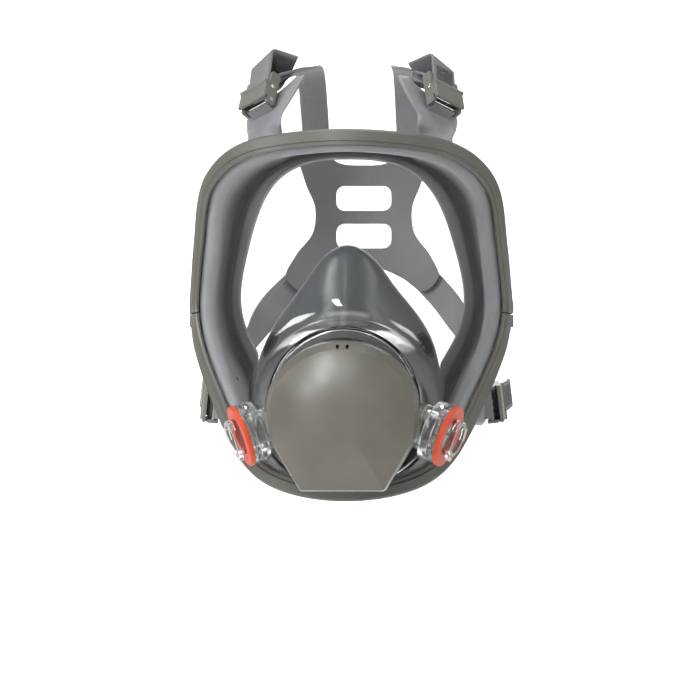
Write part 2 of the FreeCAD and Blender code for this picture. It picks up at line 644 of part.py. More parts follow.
def cover_wire(scale, y, shift=0.0, floor=None):
    """The cover's shield outline: a curve over the top and both sides, closed by a straight bottom edge."""
    mid = -53.0
    pts = [V(x * scale, y, mid + (z - mid) * scale + shift) for x, z in COVER_HALF]
    if floor is not None:
        pts[-1] = V(pts[-1].x, y, floor)
    curve = spline_edge([flip(p) for p in reversed(pts[1:])] + pts)
    return Part.Wire([curve, Part.makeLine(pts[-1], flip(pts[-1]))])


def make_cover():
    """Domed cover with a bevelled border: a shell open at the back and, below, where the breath leaves."""
    def block(walls, dome):
        wall = Part.makeLoft([cover_wire(*w) for w in walls], True, True)
        return wall.fuse(Part.makeLoft([cover_wire(*w) for w in dome], True, False))

    outer = block([(1.0, -88.6), (0.992, -96.0), (0.925, -102.4), (0.905, -103.2)],
                  [(0.905, -103.2), (0.75, -105.3, -0.2), (0.5, -106.9, -0.5), (0.2, -107.6, -0.8)])
    inner = block([(0.97, -88.0), (0.962, -95.4), (0.89, -101.0), (0.87, -101.4)],
                  [(0.87, -101.4), (0.72, -103.3, -0.2), (0.5, -104.9, -0.5), (0.2, -105.6, -0.8)])
    shell = outer.cut(inner)
    shell = shell.cut(Part.makeBox(34, 7.5, 12, V(-17, -95.6, -103)))
    for x in (-2.7, 2.7):
        shell = shell.cut(Part.makeBox(1.6, 14, 2.2, V(x - 0.8, -110, -19.8)))
    return shell


# ---------------------------------------------------------------- build everything
lens = make_lens()
frame_upper, frame_lower = make_frames()
save("lens", lens)
save("frame_upper", frame_upper)
save("frame_lower", max(frame_lower.cut(lens).Solids, key=lambda solid: solid.Volume))
screw_right, nut_right = make_frame_screws()
save("frame_screws", Part.makeCompound([screw_right, mirrored(screw_right)]))
save("frame_nuts", Part.makeCompound([nut_right, mirrored(nut_right)]))
save("face_seal", make_seal())
save("nose_cup", make_nose_cup())
save("adapter_housing", make_adapter())
save("adapter_gasket", tube(32.4, NECK_R + 0.6, 87.05, 88.15, FORWARD, ADAPTER_AT))
save("adapter_nut", make_adapter_nut())
save("speech_diaphragm", make_diaphragm())
save("diaphragm_ring", make_diaphragm_ring())
save("exhalation_valve", make_exhalation_valve())
save("front_cover", make_cover())

port, port_gasket = make_port(), make_port_gasket()
port_valve = valve_disc(9.2, -19.6, -18.8)
cup_seat = valve_seat(9.6, 6.2, 2.2, -3.9, -2.4, -6.1, 2.6).fuse(tube(8.0, 6.2, -2.6, 2.2, V(0, 0, 1)))
cup_valve = valve_disc(7.6, -4.9, -4.1)
for shape, name in ((port, "port"), (port_gasket, "port_gasket"), (port_valve, "inhalation_valve")):
    right = along_axis(shape, PORT_AXIS, PORT_FACE)
    save(f"{name}_right", right)
    save(f"{name}_left", mirrored(right))
for shape, name in ((cup_seat, "cup_valve_seat"), (cup_valve, "cup_valve")):
    at, outward = cup_valve_place()
    right = along_axis(shape, outward, at)
    save(f"{name}_right", right)
    save(f"{name}_left", mirrored(right))

buckle, roller = buckle_solids()
pin = cylinder(PIN_R, -CHEEK_OUT, CHEEK_OUT, V(1, 0, 0))
for level, place, ends in (("upper", (UPPER_PIN, UPPER_ALONG, UPPER_OUT), (UPPER_REST, UPPER_TAIL)),
                           ("lower", (LOWER_PIN, LOWER_ALONG, LOWER_OUT), (LOWER_REST, LOWER_TAIL))):
    pieces = {"buckle": buckle, "buckle_roller": roller, "buckle_pin": pin, "strap_end": strap_front_solid(*ends)}
    for name, shape in pieces.items():
        right = placed(shape, *place)
        save(f"{name}_{level}_right", right)
        save(f"{name}_{level}_left", mirrored(right))
    rear = make_strap_rear(level == "upper")
    save(f"strap_{level}_right", rear)
    save(f"strap_{level}_left", mirrored(rear))
save("head_pad", make_pad())
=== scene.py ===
"""Looks of the full-face respirator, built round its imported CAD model.
"""
import math

import bmesh
import bpy
import numpy as np
from mathutils import Matrix, Vector


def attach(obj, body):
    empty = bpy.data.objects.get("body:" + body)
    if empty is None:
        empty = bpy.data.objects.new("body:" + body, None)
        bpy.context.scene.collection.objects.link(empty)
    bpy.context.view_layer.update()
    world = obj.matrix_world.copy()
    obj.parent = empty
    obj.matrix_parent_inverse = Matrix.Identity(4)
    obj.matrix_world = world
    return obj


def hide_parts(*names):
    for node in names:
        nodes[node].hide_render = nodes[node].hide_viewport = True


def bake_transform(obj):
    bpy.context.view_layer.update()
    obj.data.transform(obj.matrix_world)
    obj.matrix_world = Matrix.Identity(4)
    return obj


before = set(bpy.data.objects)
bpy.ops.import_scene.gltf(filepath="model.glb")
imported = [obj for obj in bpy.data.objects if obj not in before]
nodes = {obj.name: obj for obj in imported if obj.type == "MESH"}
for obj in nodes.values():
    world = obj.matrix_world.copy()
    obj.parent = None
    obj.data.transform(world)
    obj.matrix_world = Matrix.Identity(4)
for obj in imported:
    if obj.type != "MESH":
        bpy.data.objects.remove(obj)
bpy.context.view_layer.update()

# ---------------------------------------------------------------- the design's numbers, as in the CAD source
# an outline is half of it, from the top to the bottom, as (x, z) or (x, y, z)
MM = 0.001
WINDOW_R, WINDOW_AXIS_Y, LENS_T = 94.5, 34.5, 2.2
# the window's snout: its height, front, radius, side's slope, the radii of its front edge and foot, and its hole
BOSS_Z, BOSS_FRONT_Y, BOSS_R, BOSS_SLOPE, BOSS_EDGE_R, BOSS_FOOT_R, HOLE_R = -50.0, -87.0, 42.0, 4.0, 3.2, 12.0, 30.5
RIM_HALF = [(0, 98.5), (36.1, 96.3), (63.4, 89.2), (78.8, 74.8), (84.4, 50.4), (87.1, 23.2), (88.2, 1.8),
            (84.6, -19.8), (75.9, -42.5), (64.7, -66.7), (48.7, -88), (26.1, -97.9), (0, -100.7)]
OPENING_HALF = [(0, -20, 88), (21.7, -18, 86), (41.1, -8, 75.9), (53.5, 4, 55.4), (60.6, 13, 31.9), (64.2, 19, 7.3),
                (59.6, 21, -12.2), (50.3, 18, -29.3), (41.5, 14, -50), (31.5, 9, -70), (17.5, 5, -84.5),
                (0, 4, -89.5)]
CUP_EDGE_HALF = [(0, -28, 36), (10, -26, 32), (23.4, -18, 15.5), (38.5, -9, -4.5), (46.8, -6, -23), (46.5, -7, -44),
                 (38, -11, -65), (26.5, -15.5, -78), (14, -19.5, -85), (0, -21, -87)]
COVER_MID = -53.0
COVER_HALF = [(0, -15.3), (13.5, -16.9), (23.3, -21.2), (30.3, -26.7), (36.0, -32.9), (40.6, -41.0), (42.2, -50.0),
              (42.0, -60.0), (39.8, -70.2), (34.3, -81.2), (27.3, -92.2), (23.4, -98.6)]
PORT_FACE = np.array([58.8, -72.0, -69.0])
PORT_AXIS = np.array([0.905, -0.245, -0.348])
# a buckle's pin on the +X side, with the directions along the strap and outward
UPPER = dict(pin=(53, 5, 119.5), along=(-0.135, 0.605, 0.785), out=(0.6755, -0.5235, 0.5196))
LOWER = dict(pin=(80, 27, -52), along=(0.10, 0.985, 0.14), out=(0.985, -0.115, 0.10))
STRAP_W, STRAP_T, STRAP_PLAY, STRAP_EDGE_R = 17.0, 1.8, 0.3, 0.7
ROLLER_V, ROLLER_W, ROLLER_R = 9.0, 0.6, 1.5
PAD_R, PAD_T, PAD_CENTRE = 85.0, 2.6, np.array([0, 93.5, 60.0])
FLIP = np.array([-1.0, 1.0, 1.0])
SIDES = (("right", 1), ("left", -1))
PLACES = {"upper": UPPER, "lower": LOWER}
# points that a step between two outline points is cut into, and stations round the window, seal and cup
FINE, STATIONS = 60, 360
SHARES = np.arange(STATIONS) / STATIONS


def unit(v):
    v = np.asarray(v, float)
    return v / np.linalg.norm(v, axis=-1, keepdims=True)


def mirror_of(side):
    return FLIP if side < 0 else np.ones(3)


def metres(point):
    return tuple(np.asarray(point, float) * MM)


def hermite(p0, p1, m0, m1, s, h):
    """The cubic between two points with the slopes at them, at shares s of a step of length h."""
    return (p0 * (2 * s ** 3 - 3 * s ** 2 + 1) + m0 * h * (s ** 3 - 2 * s ** 2 + s)
            + p1 * (3 * s ** 2 - 2 * s ** 3) + m1 * h * (s ** 3 - s ** 2))


def through(points, count, steps=None):
    """Even points on a smooth curve through points: (M, 3), or (M, N, 3) for N curves at once. Steps are the
    lengths between the points, where they aren't the distances."""
    p = np.asarray(points, float)
    h = np.linalg.norm(np.diff(p.reshape(len(p), -1, 3), axis=0), axis=2).mean(1) if steps is None else steps
    t = np.r_[0, np.cumsum(h)]
    tail = (1,) * (p.ndim - 1)
    d = np.diff(p, axis=0) / h.reshape((-1,) + tail)
    m = np.empty_like(p)
    m[0], m[-1] = d[0], d[-1]
    w = (h[1:] / (h[:-1] + h[1:])).reshape((-1,) + tail)
    m[1:-1] = d[:-1] * w + d[1:] * (1 - w)
    x = np.linspace(0, t[-1], count)
    i = np.clip(np.searchsorted(t, x, side="right") - 1, 0, len(h) - 1)
    s, hh = ((x - t[i]) / h[i]).reshape((-1,) + tail), h[i].reshape((-1,) + tail)
    return hermite(p[i], p[i + 1], m[i], m[i + 1], s, hh)


class Outline:
    """A smooth outline, alike on both sides, that meets the middle plane squarely. A share of 0 is its top, 0.5 its
    bottom."""

    def __init__(self, half):
        p = np.array([(q[0], q[1] if len(q) == 3 else 0, q[-1]) for q in half], float)
        h = np.linalg.norm(np.diff(p, axis=0), axis=1)
        n = len(p)
        a, b = np.zeros((n, n)), np.zeros((n, 3))
        a[0, 0] = a[-1, -1] = 1
        b[0], b[-1] = (1, 0, 0), (-1, 0, 0)
        for i in range(1, n - 1):
            a[i, i - 1:i + 2] = h[i], 2 * (h[i - 1] + h[i]), h[i - 1]
            b[i] = 3 * (h[i] * (p[i] - p[i - 1]) / h[i - 1] + h[i - 1] * (p[i + 1] - p[i]) / h[i])
        m = np.linalg.solve(a, b)
        fine = []
        for i in range(n - 1):
            s = np.linspace(0, 1, FINE, endpoint=i == n - 2)[:, None]
            fine.append(hermite(p[i], p[i + 1], m[i], m[i + 1], s, h[i]))
        self.points = np.concatenate(fine)
        run = np.r_[0, np.cumsum(np.linalg.norm(np.diff(self.points, axis=0), axis=1))]
        self.share = run / run[-1]
        self.tangents = unit(np.gradient(self.points, run, axis=0))

    def at(self, shares):
        s = np.asarray(shares, float) % 1.0
        f = 2 * np.minimum(s, 1 - s)
        p = np.stack([np.interp(f, self.share, self.points[:, k]) for k in range(3)], -1)
        t = unit(np.stack([np.interp(f, self.share, self.tangents[:, k]) for k in range(3)], -1))
        over = (s > 0.5)[..., None]
        return np.where(over, p * FLIP, p), np.where(over, t * (1, -1, -1), t)


RIM, OPENING, CUP_EDGE = Outline(RIM_HALF), Outline(OPENING_HALF), Outline(CUP_EDGE_HALF)


def rim_frame(shares):
    """Points on the window's rim, with tangent, outward in-surface direction and surface normal."""
    p, t = RIM.at(shares)
    sin_a = p[..., 0] / WINDOW_R
    cos_a = np.sqrt(1 - sin_a ** 2)
    n = np.stack([sin_a, -cos_a, 0 * sin_a], -1)
    t = unit(np.stack([t[..., 0], t[..., 0] * sin_a / cos_a, t[..., 2]], -1))
    p = np.stack([p[..., 0], WINDOW_AXIS_Y - WINDOW_R * cos_a, p[..., 2]], -1)
    return p, t, np.cross(n, t), n


# ---------------------------------------------------------------- mesh makers
def make_object(name, verts, faces, material, uvs=None, smooth=True):
    """A mesh piece from points in millimetres, with a UV for each point where they are given."""
    mesh = bpy.data.meshes.new(name)
    mesh.from_pydata((np.asarray(verts, float) * MM).tolist(), [], [tuple(map(int, f)) for f in faces])
    if uvs is not None:
        layer = mesh.uv_layers.new(name="UVMap")
        at = np.empty(len(mesh.loops), np.int32)
        mesh.loops.foreach_get("vertex_index", at)
        layer.data.foreach_set("uv", np.asarray(uvs, np.float32)[at].ravel())
    mesh.validate()
    bm = bmesh.new()
    bm.from_mesh(mesh)
    bmesh.ops.recalc_face_normals(bm, faces=bm.faces)
    bm.to_mesh(mesh)
    bm.free()
    if smooth:
        mesh.shade_smooth()
    obj = bpy.data.objects.new(name, mesh)
    bpy.context.scene.collection.objects.link(obj)
    mesh.materials.append(material)
    return obj


def grid_faces(rows, cols, closed_rows=False, closed_cols=False, offset=0):
    """The quads of a grid of points, which can close on itself either way."""
    faces = []
    for i in range(rows if closed_rows else rows - 1):
        for j in range(cols if closed_cols else cols - 1):
            a, b = i * cols + j, i * cols + (j + 1) % cols
            c, d = ((i + 1) % rows) * cols + (j + 1) % cols, ((i + 1) % rows) * cols + j
            faces.append((a + offset, b + offset, c + offset, d + offset))
    return faces


def sheet_faces(rows, cols):
    """Faces of a sheet with a border, where the points of its second side follow those of its first."""
    size = rows * cols
    faces = grid_faces(rows, cols) + [f[::-1] for f in grid_faces(rows, cols, offset=size)]
    border = (list(range(cols)) + [i * cols + cols - 1 for i in range(1, rows)]
              + [(rows - 1) * cols + j for j in range(cols - 2, -1, -1)] + [i * cols for i in range(rows - 2, 0, -1)])
    return faces + [(r, q, q + size, r + size) for q, r in zip(border, border[1:] + border[:1])]


def capped_tube(rows, cols):
    """Faces of a tube of closed rings, with an end face on the first and the last ring."""
    ends = [tuple(range(cols))[::-1], tuple(range((rows - 1) * cols, rows * cols))]
    return grid_faces(rows, cols, False, True) + ends


def round_edge(centre, half):
    """Adds a round edge past the last profile point of a wall."""
    turns = np.linspace(0, 1, 6)[1:] * math.pi / 2
    d, h = unit(centre[:, -1] - centre[:, -2]), half[:, -1:]
    base = centre[:, -1] - d * h
    extra = np.stack([base + d * h * math.sin(a) for a in turns], 1)
    centre = np.concatenate([centre[:, :-1], base[:, None], extra], 1)
    half = np.concatenate([half[:, :-1], h] + [h * max(math.cos(a), 0.02) for a in turns], 1)
    return centre, half


def shell_ring(name, centre, half, material):
    """A closed ring of wall round stations, with both edges rounded: centre is (stations, profile, 3), half the half
    thickness at each profile point. Its UV Y runs 0 to 0.5 across the outside and 0.5 to 1 back across the inside."""
    half = np.broadcast_to(half, centre.shape[:2])
    for _ in ("first edge", "last edge"):
        centre, half = round_edge(centre[:, ::-1], half[:, ::-1])
    along = unit(np.gradient(centre, axis=1))
    around = unit(np.roll(centre, -1, 0) - np.roll(centre, 1, 0))
    n = unit(np.cross(around, along))
    one, two = centre + n * half[..., None], centre - n * half[..., None]
    section = np.concatenate([one, two[:, ::-1]], 1)
    rows, cols = section.shape[:2]
    across = np.linspace(0, 0.5, centre.shape[1])
    across = np.r_[across, 1 - across[::-1]]
    uvs = np.stack([np.repeat(np.arange(rows) / rows, cols), np.tile(across, rows)], 1)
    return make_object(name, section.reshape(-1, 3), grid_faces(rows, cols, True, True), material, uvs)


def strap_ring(width, thick):
    """A strap's cross-section: round corners, and even points across both faces for the ribs."""
    r = min(STRAP_EDGE_R, thick / 2 * 0.98)
    ring = []
    for cx, cz, start in ((1, 1, 0), (-1, 1, 90), (-1, -1, 180), (1, -1, 270)):
        for k in range(5):
            a = math.radians(start + 22.5 * k)
            ring.append((cx, cz, math.cos(a), math.sin(a)))
    for at, corner in ((5, 1), (16, -1)):
        ring[at:at] = [(x, corner, 0.0, corner * 1.0) for x in np.linspace(0.8, -0.8, 9) * corner]
    return [(cx * (width / 2 - r) + r * ax, cz * (thick / 2 - r) + r * az) for cx, cz, ax, az in ring]


def ribbon(name, points, sides, count, fold=None):
    """A strap along a smooth line, with its side directions, rounded edges, and a UV in millimetres. A fold bends
    all that lies past a crease: (point on the crease, crease direction, onward direction, radius, degrees)."""
    centre = through(points, count)
    side = through(sides, count, np.linalg.norm(np.diff(points, axis=0), axis=1))
    along = unit(np.gradient(centre, axis=0))
    side = unit(side - along * (side * along).sum(1)[:, None])
    up = np.cross(along, side)
    ring = strap_ring(STRAP_W - STRAP_PLAY, STRAP_T)
    run = np.r_[0, np.cumsum(np.linalg.norm(np.diff(centre, axis=0), axis=1))]
    verts = [centre[i] + side[i] * x + up[i] * z for i in range(count) for x, z in ring]
    uvs = [(x, run[i]) for i in range(count) for x, _ in ring]
    if fold:
        verts = [folded(v, *fold) for v in verts]
    return make_object(name, verts, capped_tube(count, len(ring)), M["strap"], uvs)


def folded(p, at, crease, onward, radius, degrees):
    """A point after the sheet it is in has been bent backwards about a crease, round a small radius."""
    normal = np.cross(crease, onward)
    q, h = np.dot(p - at, onward), np.dot(p - at, normal)
    if q <= 0:
        return p
    turn = math.radians(degrees)
    a = min(q / radius, turn)
    rest = q - a * radius
    flat = p - onward * q - normal * h
    return (flat + onward * ((radius + h) * math.sin(a) + rest * math.cos(a))
            + normal * ((radius + h) * math.cos(a) - radius - rest * math.sin(a)))


def axes_of(place, side):
    """Pin, and across, along and outward directions of a buckle on one side."""
    v = unit(place["along"])
    w = unit(np.array(place["out"]) - v * np.dot(place["out"], v))
    u = np.cross(v, w)
    mirror = mirror_of(side)
    return np.array(place["pin"]) * mirror, u * mirror, v * mirror, w * mirror


def local_of(place, side, a, b):
    """A point in a buckle's middle plane, a along it and b outward from its pin."""
    pin, _, v, w = axes_of(place, side)
    return pin + v * a + w * b


# ---------------------------------------------------------------- materials
class Nodes:
    """Short names for building a material's node tree."""

    def __init__(self, name):
        self.material = bpy.data.materials.new(name)
        self.material.use_nodes = True
        self.tree = self.material.node_tree
        self.shader = self.tree.nodes["Principled BSDF"]
        self.coords = self.tree.nodes.new("ShaderNodeTexCoord")

    def node(self, kind, **values):
        made = self.tree.nodes.new("ShaderNode" + kind)
        for key, value in values.items():
            if key in made.inputs:
                made.inputs[key].default_value = value
            else:
                setattr(made, key, value)
        return made

    def link(self, a, b):
        self.tree.links.new(a, b)

    def set(self, **values):
        for key, value in values.items():
            self.shader.inputs[key.replace("_", " ")].default_value = value

    def noise(self, scale, detail=4.0, rough=0.55, source="Object", stretch=None):
        tex = self.node("TexNoise", Scale=scale, Detail=detail, Roughness=rough)
        out = self.coords.outputs[source]
        if stretch:
            move = self.node("Mapping")
            move.inputs["Scale"].default_value = stretch
            self.link(out, move.inputs["Vector"])
            out = move.outputs["Vector"]
        self.link(out, tex.inputs["Vector"])
        return tex.outputs["Fac"]

    def ramp(self, fac, stops):
        """Turns a factor into colours or greys, from stops of (place, colour or grey)."""
        made = self.node("ValToRGB")
        while len(made.color_ramp.elements) < len(stops):
            made.color_ramp.elements.new(0.5)
        for element, (at, value) in zip(made.color_ramp.elements, stops):
            element.position = at
            element.color = tuple(value) + (1,) if hasattr(value, "__len__") else (value,) * 3 + (1,)
        self.link(fac, made.inputs["Fac"])
        return made.outputs["Color"]

    def math(self, op, a, b=None):
        made = self.node("Math", operation=op)
        for k, x in enumerate((a, b)):
            if x is None:
                continue
            if hasattr(x, "links"):
                self.link(x, made.inputs[k])
            else:
                made.inputs[k].default_value = x
        return made.outputs[0]

    def bump(self, heights):
        """Stacks bumps: (height output, strength, distance in metres)."""
        before = None
        for height, strength, distance in heights:
            made = self.node("Bump", Strength=strength, Distance=distance)
            self.link(height, made.inputs["Height"])
            if before:
                self.link(before, made.inputs["Normal"])
            before = made.outputs["Normal"]
        self.link(before, self.shader.inputs["Normal"])


def tint(color, k):
    return tuple(min(1.0, c * k) for c in color)


def plastic(name, color, rough, coat=0.0):
    """Moulded plastic: fine spark-eroded grain, faint flow clouding and handling marks."""
    n = Nodes(name)
    cloud = n.noise(38, 5)
    n.link(n.ramp(cloud, [(0.3, tint(color, 0.90)), (0.7, tint(color, 1.10))]), n.shader.inputs["Base Color"])
    marks = n.noise(120, 5, 0.6)
    n.link(n.ramp(marks, [(0.35, rough - 0.03), (0.75, rough + 0.05)]), n.shader.inputs["Roughness"])
    n.bump([(n.noise(2600, 2, 0.6), 0.22, 0.00006), (n.noise(40, 2), 0.05, 0.0004)])
    n.set(Coat_Weight=coat, Coat_Roughness=0.25)
    return n.material


def rubber(name, color, rough, bloom=1.15, sheen=0.25, depth=0.00008, across=None):
    """Moulded elastomer: matt, slightly dusty, with a soft sheen and fine orange peel. Across paints light and shade
    into it:
    it gives how much darker it is at places across one face of a ring (0 to 0.5) and back across the other (0.5 to 1)."""
    n = Nodes(name)
    cloud = n.noise(24, 6, 0.6)
    base = n.ramp(cloud, [(0.32, tint(color, 0.92)), (0.72, tint(color, bloom))])
    # painted light and shade: the colour is multiplied by a ramp across the ring's profile
    if across:
        split = n.node("SeparateXYZ")
        n.link(n.coords.outputs["UV"], split.inputs[0])
        mix = n.node("Mix", data_type="RGBA", blend_type="MULTIPLY")
        mix.inputs["Factor"].default_value = 1.0
        n.link(base, mix.inputs[6])
        n.link(n.ramp(split.outputs["Y"], across), mix.inputs[7])
        base = mix.outputs[2]
    n.link(base, n.shader.inputs["Base Color"])
    n.link(n.ramp(n.noise(210, 5, 0.7), [(0.3, rough - 0.07), (0.8, rough + 0.10)]), n.shader.inputs["Roughness"])
    n.bump([(n.noise(1500, 3, 0.6), 0.30, depth), (n.noise(70, 2), 0.10, 0.0005)])
    n.set(Sheen_Weight=sheen, Sheen_Roughness=0.5)
    return n.material


def clear(name, color, rough, wear=0.02, ior=1.49):
    """Clear polycarbonate with faint wipe marks."""
    n = Nodes(name)
    n.set(Base_Color=tuple(color) + (1,), Transmission_Weight=1.0, IOR=ior)
    fine = n.noise(420, 6, 0.75, stretch=(1, 1, 0.12))
    n.link(n.ramp(fine, [(0.55, rough), (0.9, rough + wear)]), n.shader.inputs["Roughness"])
    n.bump([(n.noise(1400, 2), 0.02, 0.00002)])
    return n.material


def metal(name, color, rough):
    """Drawn steel: fine scratches along one way."""
    n = Nodes(name)
    n.set(Base_Color=tuple(color) + (1,), Metallic=1.0)
    n.link(n.ramp(n.noise(900, 4, 0.7, stretch=(1, 0.1, 1)), [(0.3, rough - 0.06), (0.8, rough + 0.12)]),
           n.shader.inputs["Roughness"])
    n.bump([(n.noise(1800, 2), 0.15, 0.00004)])
    return n.material


def strap_rubber(name, color, rib=1.5):
    """Ribbed elastomer strap: fine lengthwise ribs, rib millimetres apart, over a matt surface."""
    n = Nodes(name)
    n.link(n.ramp(n.noise(30, 6, 0.6), [(0.3, tint(color, 0.88)), (0.75, tint(color, 1.14))]),
           n.shader.inputs["Base Color"])
    n.link(n.ramp(n.noise(260, 5, 0.7), [(0.3, 0.50), (0.8, 0.66)]), n.shader.inputs["Roughness"])
    split = n.node("SeparateXYZ")
    n.link(n.coords.outputs["UV"], split.inputs[0])
    ribs = n.math("SINE", n.math("MULTIPLY", split.outputs["X"], 2 * math.pi / rib))
    n.bump([(ribs, 0.22, 0.0002), (n.noise(1700, 3, 0.6), 0.25, 0.00006)])
    n.set(Sheen_Weight=0.15, Sheen_Roughness=0.5)
    return n.material


M = {
    "lens": clear("clear_window", (0.97, 0.985, 0.98), 0.012),
    "port": clear("clear_port", (0.95, 0.965, 0.96), 0.14, 0.06, ior=1.30),
    "frame": plastic("khaki_frame", (0.100, 0.099, 0.086), 0.40),
    "cover": plastic("khaki_cover", (0.100, 0.095, 0.078), 0.33, coat=0.25),
    "buckle": plastic("khaki_buckle", (0.150, 0.145, 0.128), 0.40),
    "seal": rubber("seal_rubber", (0.185, 0.180, 0.192), 0.52),
    # the same rubber as the tabs, with light and shade painted across the ring: about the tabs' own tone outside;
    # inside, painted light on the side wall, on the flange that lies on the face and in a line along its lip, and
    # painted shade in the deep fold
    "seal_ring": rubber("seal_ring_painted_light_and_shade", (0.50, 0.495, 0.52), 0.50, across=[
        (0.0, 0.34), (0.49, 0.34), (0.50, 0.8), (0.52, 0.72), (0.565, 0.62), (0.582, 0.16), (0.64, 0.22), (0.71, 0.62),
        (0.79, 1.0), (1.0, 0.85)]),
    "cup": rubber("cup_rubber", (0.092, 0.099, 0.107), 0.36, sheen=0.1, depth=0.00004),
    "dark": plastic("dark_moulding", (0.035, 0.036, 0.038), 0.45),
    "black": rubber("black_rubber", (0.02, 0.02, 0.021), 0.6),
    "film": clear("diaphragm_film", (0.85, 0.80, 0.66), 0.2),
    "valve": rubber("amber_silicone", (0.55, 0.44, 0.27), 0.45, sheen=0.1),
    "orange": rubber("orange_silicone", (0.55, 0.050, 0.008), 0.50, bloom=1.06, sheen=0.0),
    "steel": metal("bright_steel", (0.74, 0.73, 0.71), 0.22),
    "strap": strap_rubber("strap_rubber", (0.150, 0.150, 0.158)),
    "pad": rubber("pad_rubber", (0.110, 0.108, 0.114), 0.58),
}
NODE_MATERIALS = {
    "frame": ["frame_upper", "frame_lower"], "lens": ["lens"],
    "port": ["port_right", "port_left"], "steel": ["frame_screws", "frame_nuts"],
    "dark": ["adapter_housing", "adapter_nut", "diaphragm_ring", "cup_valve_seat_right", "cup_valve_seat_left"],
    "black": ["adapter_gasket"], "film": ["speech_diaphragm"],
    "valve": ["exhalation_valve", "inhalation_valve_right", "inhalation_valve_left", "cup_valve_right",
              "cup_valve_left"],
    "orange": ["port_gasket_right", "port_gasket_left"],
}
for level in PLACES:
    for word, _ in SIDES:
        NODE_MATERIALS.setdefault("buckle", []).append(f"buckle_{level}_{word}")
        NODE_MATERIALS["steel"] += [f"buckle_roller_{level}_{word}", f"buckle_pin_{level}_{word}"]
for key, names in NODE_MATERIALS.items():
    for name in names:
        node = nodes[name]
        node.data.materials.clear()
        node.data.materials.append(M[key])

# ---------------------------------------------------------------- window
DENSE_RUN, DENSE_GAIN = 18, 1.6  # the snout's fillet has this many times the points, over this length
COLLAR_R, COLLAR_BORE_R, COLLAR_BACK, COLLAR_FRONT = 17.2, 13.3, -12.0, -7.0


def window_y(x):
    """The window's outer skin, a cylinder about an upright axis."""
    return WINDOW_AXIS_Y - np.sqrt(WINDOW_R ** 2 - np.minimum(np.abs(x), WINDOW_R - 0.01) ** 2)


def lens_profile(rim):
    """Outer surface from the adapter hole to a point on the rim: flat front, round edge, cone and fillet of the
    snout, then the window's skin. It is worked out as (distance from the snout's axis, y)."""
    dx, dz = rim[0], rim[2] - BOSS_Z
    reach = math.hypot(dx, dz)
    ux = dx / reach
    cone_n = np.array([BOSS_SLOPE, -1]) / math.hypot(1, BOSS_SLOPE)

    def skin(rho, step=0.05):
        y = float(window_y(rho * ux))
        slope = (float(window_y((rho + step) * ux)) - y) / step
        return np.array([rho, y]), np.array([slope, -1]) / math.hypot(slope, 1)

    # halving the gap finds where the fillet's foot meets the skin
    low, high = BOSS_R, BOSS_R + 60
    for _ in range(40):
        mid = (low + high) / 2
        p, n = skin(mid)
        inside = np.dot(p + n * BOSS_FOOT_R - (BOSS_R, BOSS_FRONT_Y), cone_n) < BOSS_FOOT_R
        low, high = (mid, high) if inside else (low, mid)
    foot, n = skin(low)
    centre = foot + n * BOSS_FOOT_R
    a0, a1 = math.atan2(-cone_n[1], -cone_n[0]), math.atan2(-n[1], -n[0])
    if a0 < a1:
        a0 += 2 * math.pi
    arc = [centre + BOSS_FOOT_R * np.array([math.cos(a), math.sin(a)]) for a in np.linspace(a0, a1, 40)]
    tail = [skin(r)[0] for r in np.linspace(low, max(reach, low + 0.1), 60)[1:]]
    full = np.array(arc + tail)
    rest = full[full[:, 0] <= reach]
    k = len(rest)
    if k > len(arc):
        last = np.array([reach, float(window_y(reach * ux))])
    else:
        f = (reach - full[k - 1, 0]) / (full[k, 0] - full[k - 1, 0])
        last = full[k - 1] + (full[k] - full[k - 1]) * f
    rest = np.vstack([rest, last])
    run = np.r_[0, np.cumsum(np.linalg.norm(np.diff(rest, axis=0), axis=1))]
    bend = np.minimum(run, DENSE_RUN) * DENSE_GAIN + np.maximum(run - DENSE_RUN, 0)
    at = np.interp(np.linspace(0, bend[-1], 44), bend, run)
    rest = np.stack([np.interp(at, run, rest[:, k]) for k in range(2)], 1)

    half = math.atan(BOSS_SLOPE) / 2
    c = np.array([BOSS_R - BOSS_EDGE_R * math.tan(half), BOSS_FRONT_Y + BOSS_EDGE_R])
    edge = [c + BOSS_EDGE_R * np.array([math.sin(a), -math.cos(a)]) for a in np.linspace(0, 2 * half, 9)]
    plane = [np.array([r, BOSS_FRONT_Y]) for r in np.linspace(HOLE_R, c[0], 5)[:-1]]
    wall = [edge[-1] + (rest[0] - edge[-1]) * t for t in np.linspace(0, 1, 7)[1:-1]]
    line = np.array(plane + edge + wall + list(rest))
    return np.stack([line[:, 0] * ux, line[:, 1], BOSS_Z + line[:, 0] * dz / reach], 1)


def port_collar(side, around=96):
    """Points and faces of the short tube behind a port, about the port's axis, with a rounded outer end."""
    n = unit(PORT_AXIS)
    u = unit(np.cross(n, (0, 0, 1)))
    v = np.cross(n, u)
    end, r = COLLAR_FRONT, COLLAR_R
    prof = [(COLLAR_BACK, COLLAR_BORE_R), (COLLAR_BACK, r), (end - 1.0, r), (end - 0.3, r - 0.3), (end, r - 1.0),
            (end, COLLAR_BORE_R)]
    pts = [[(PORT_FACE + n * w + (u * math.cos(a) + v * math.sin(a)) * q) * mirror_of(side) for w, q in prof]
           for a in np.arange(around) / around * 2 * math.pi]
    return np.array(pts).reshape(-1, 3), grid_faces(around, len(prof), True, True)


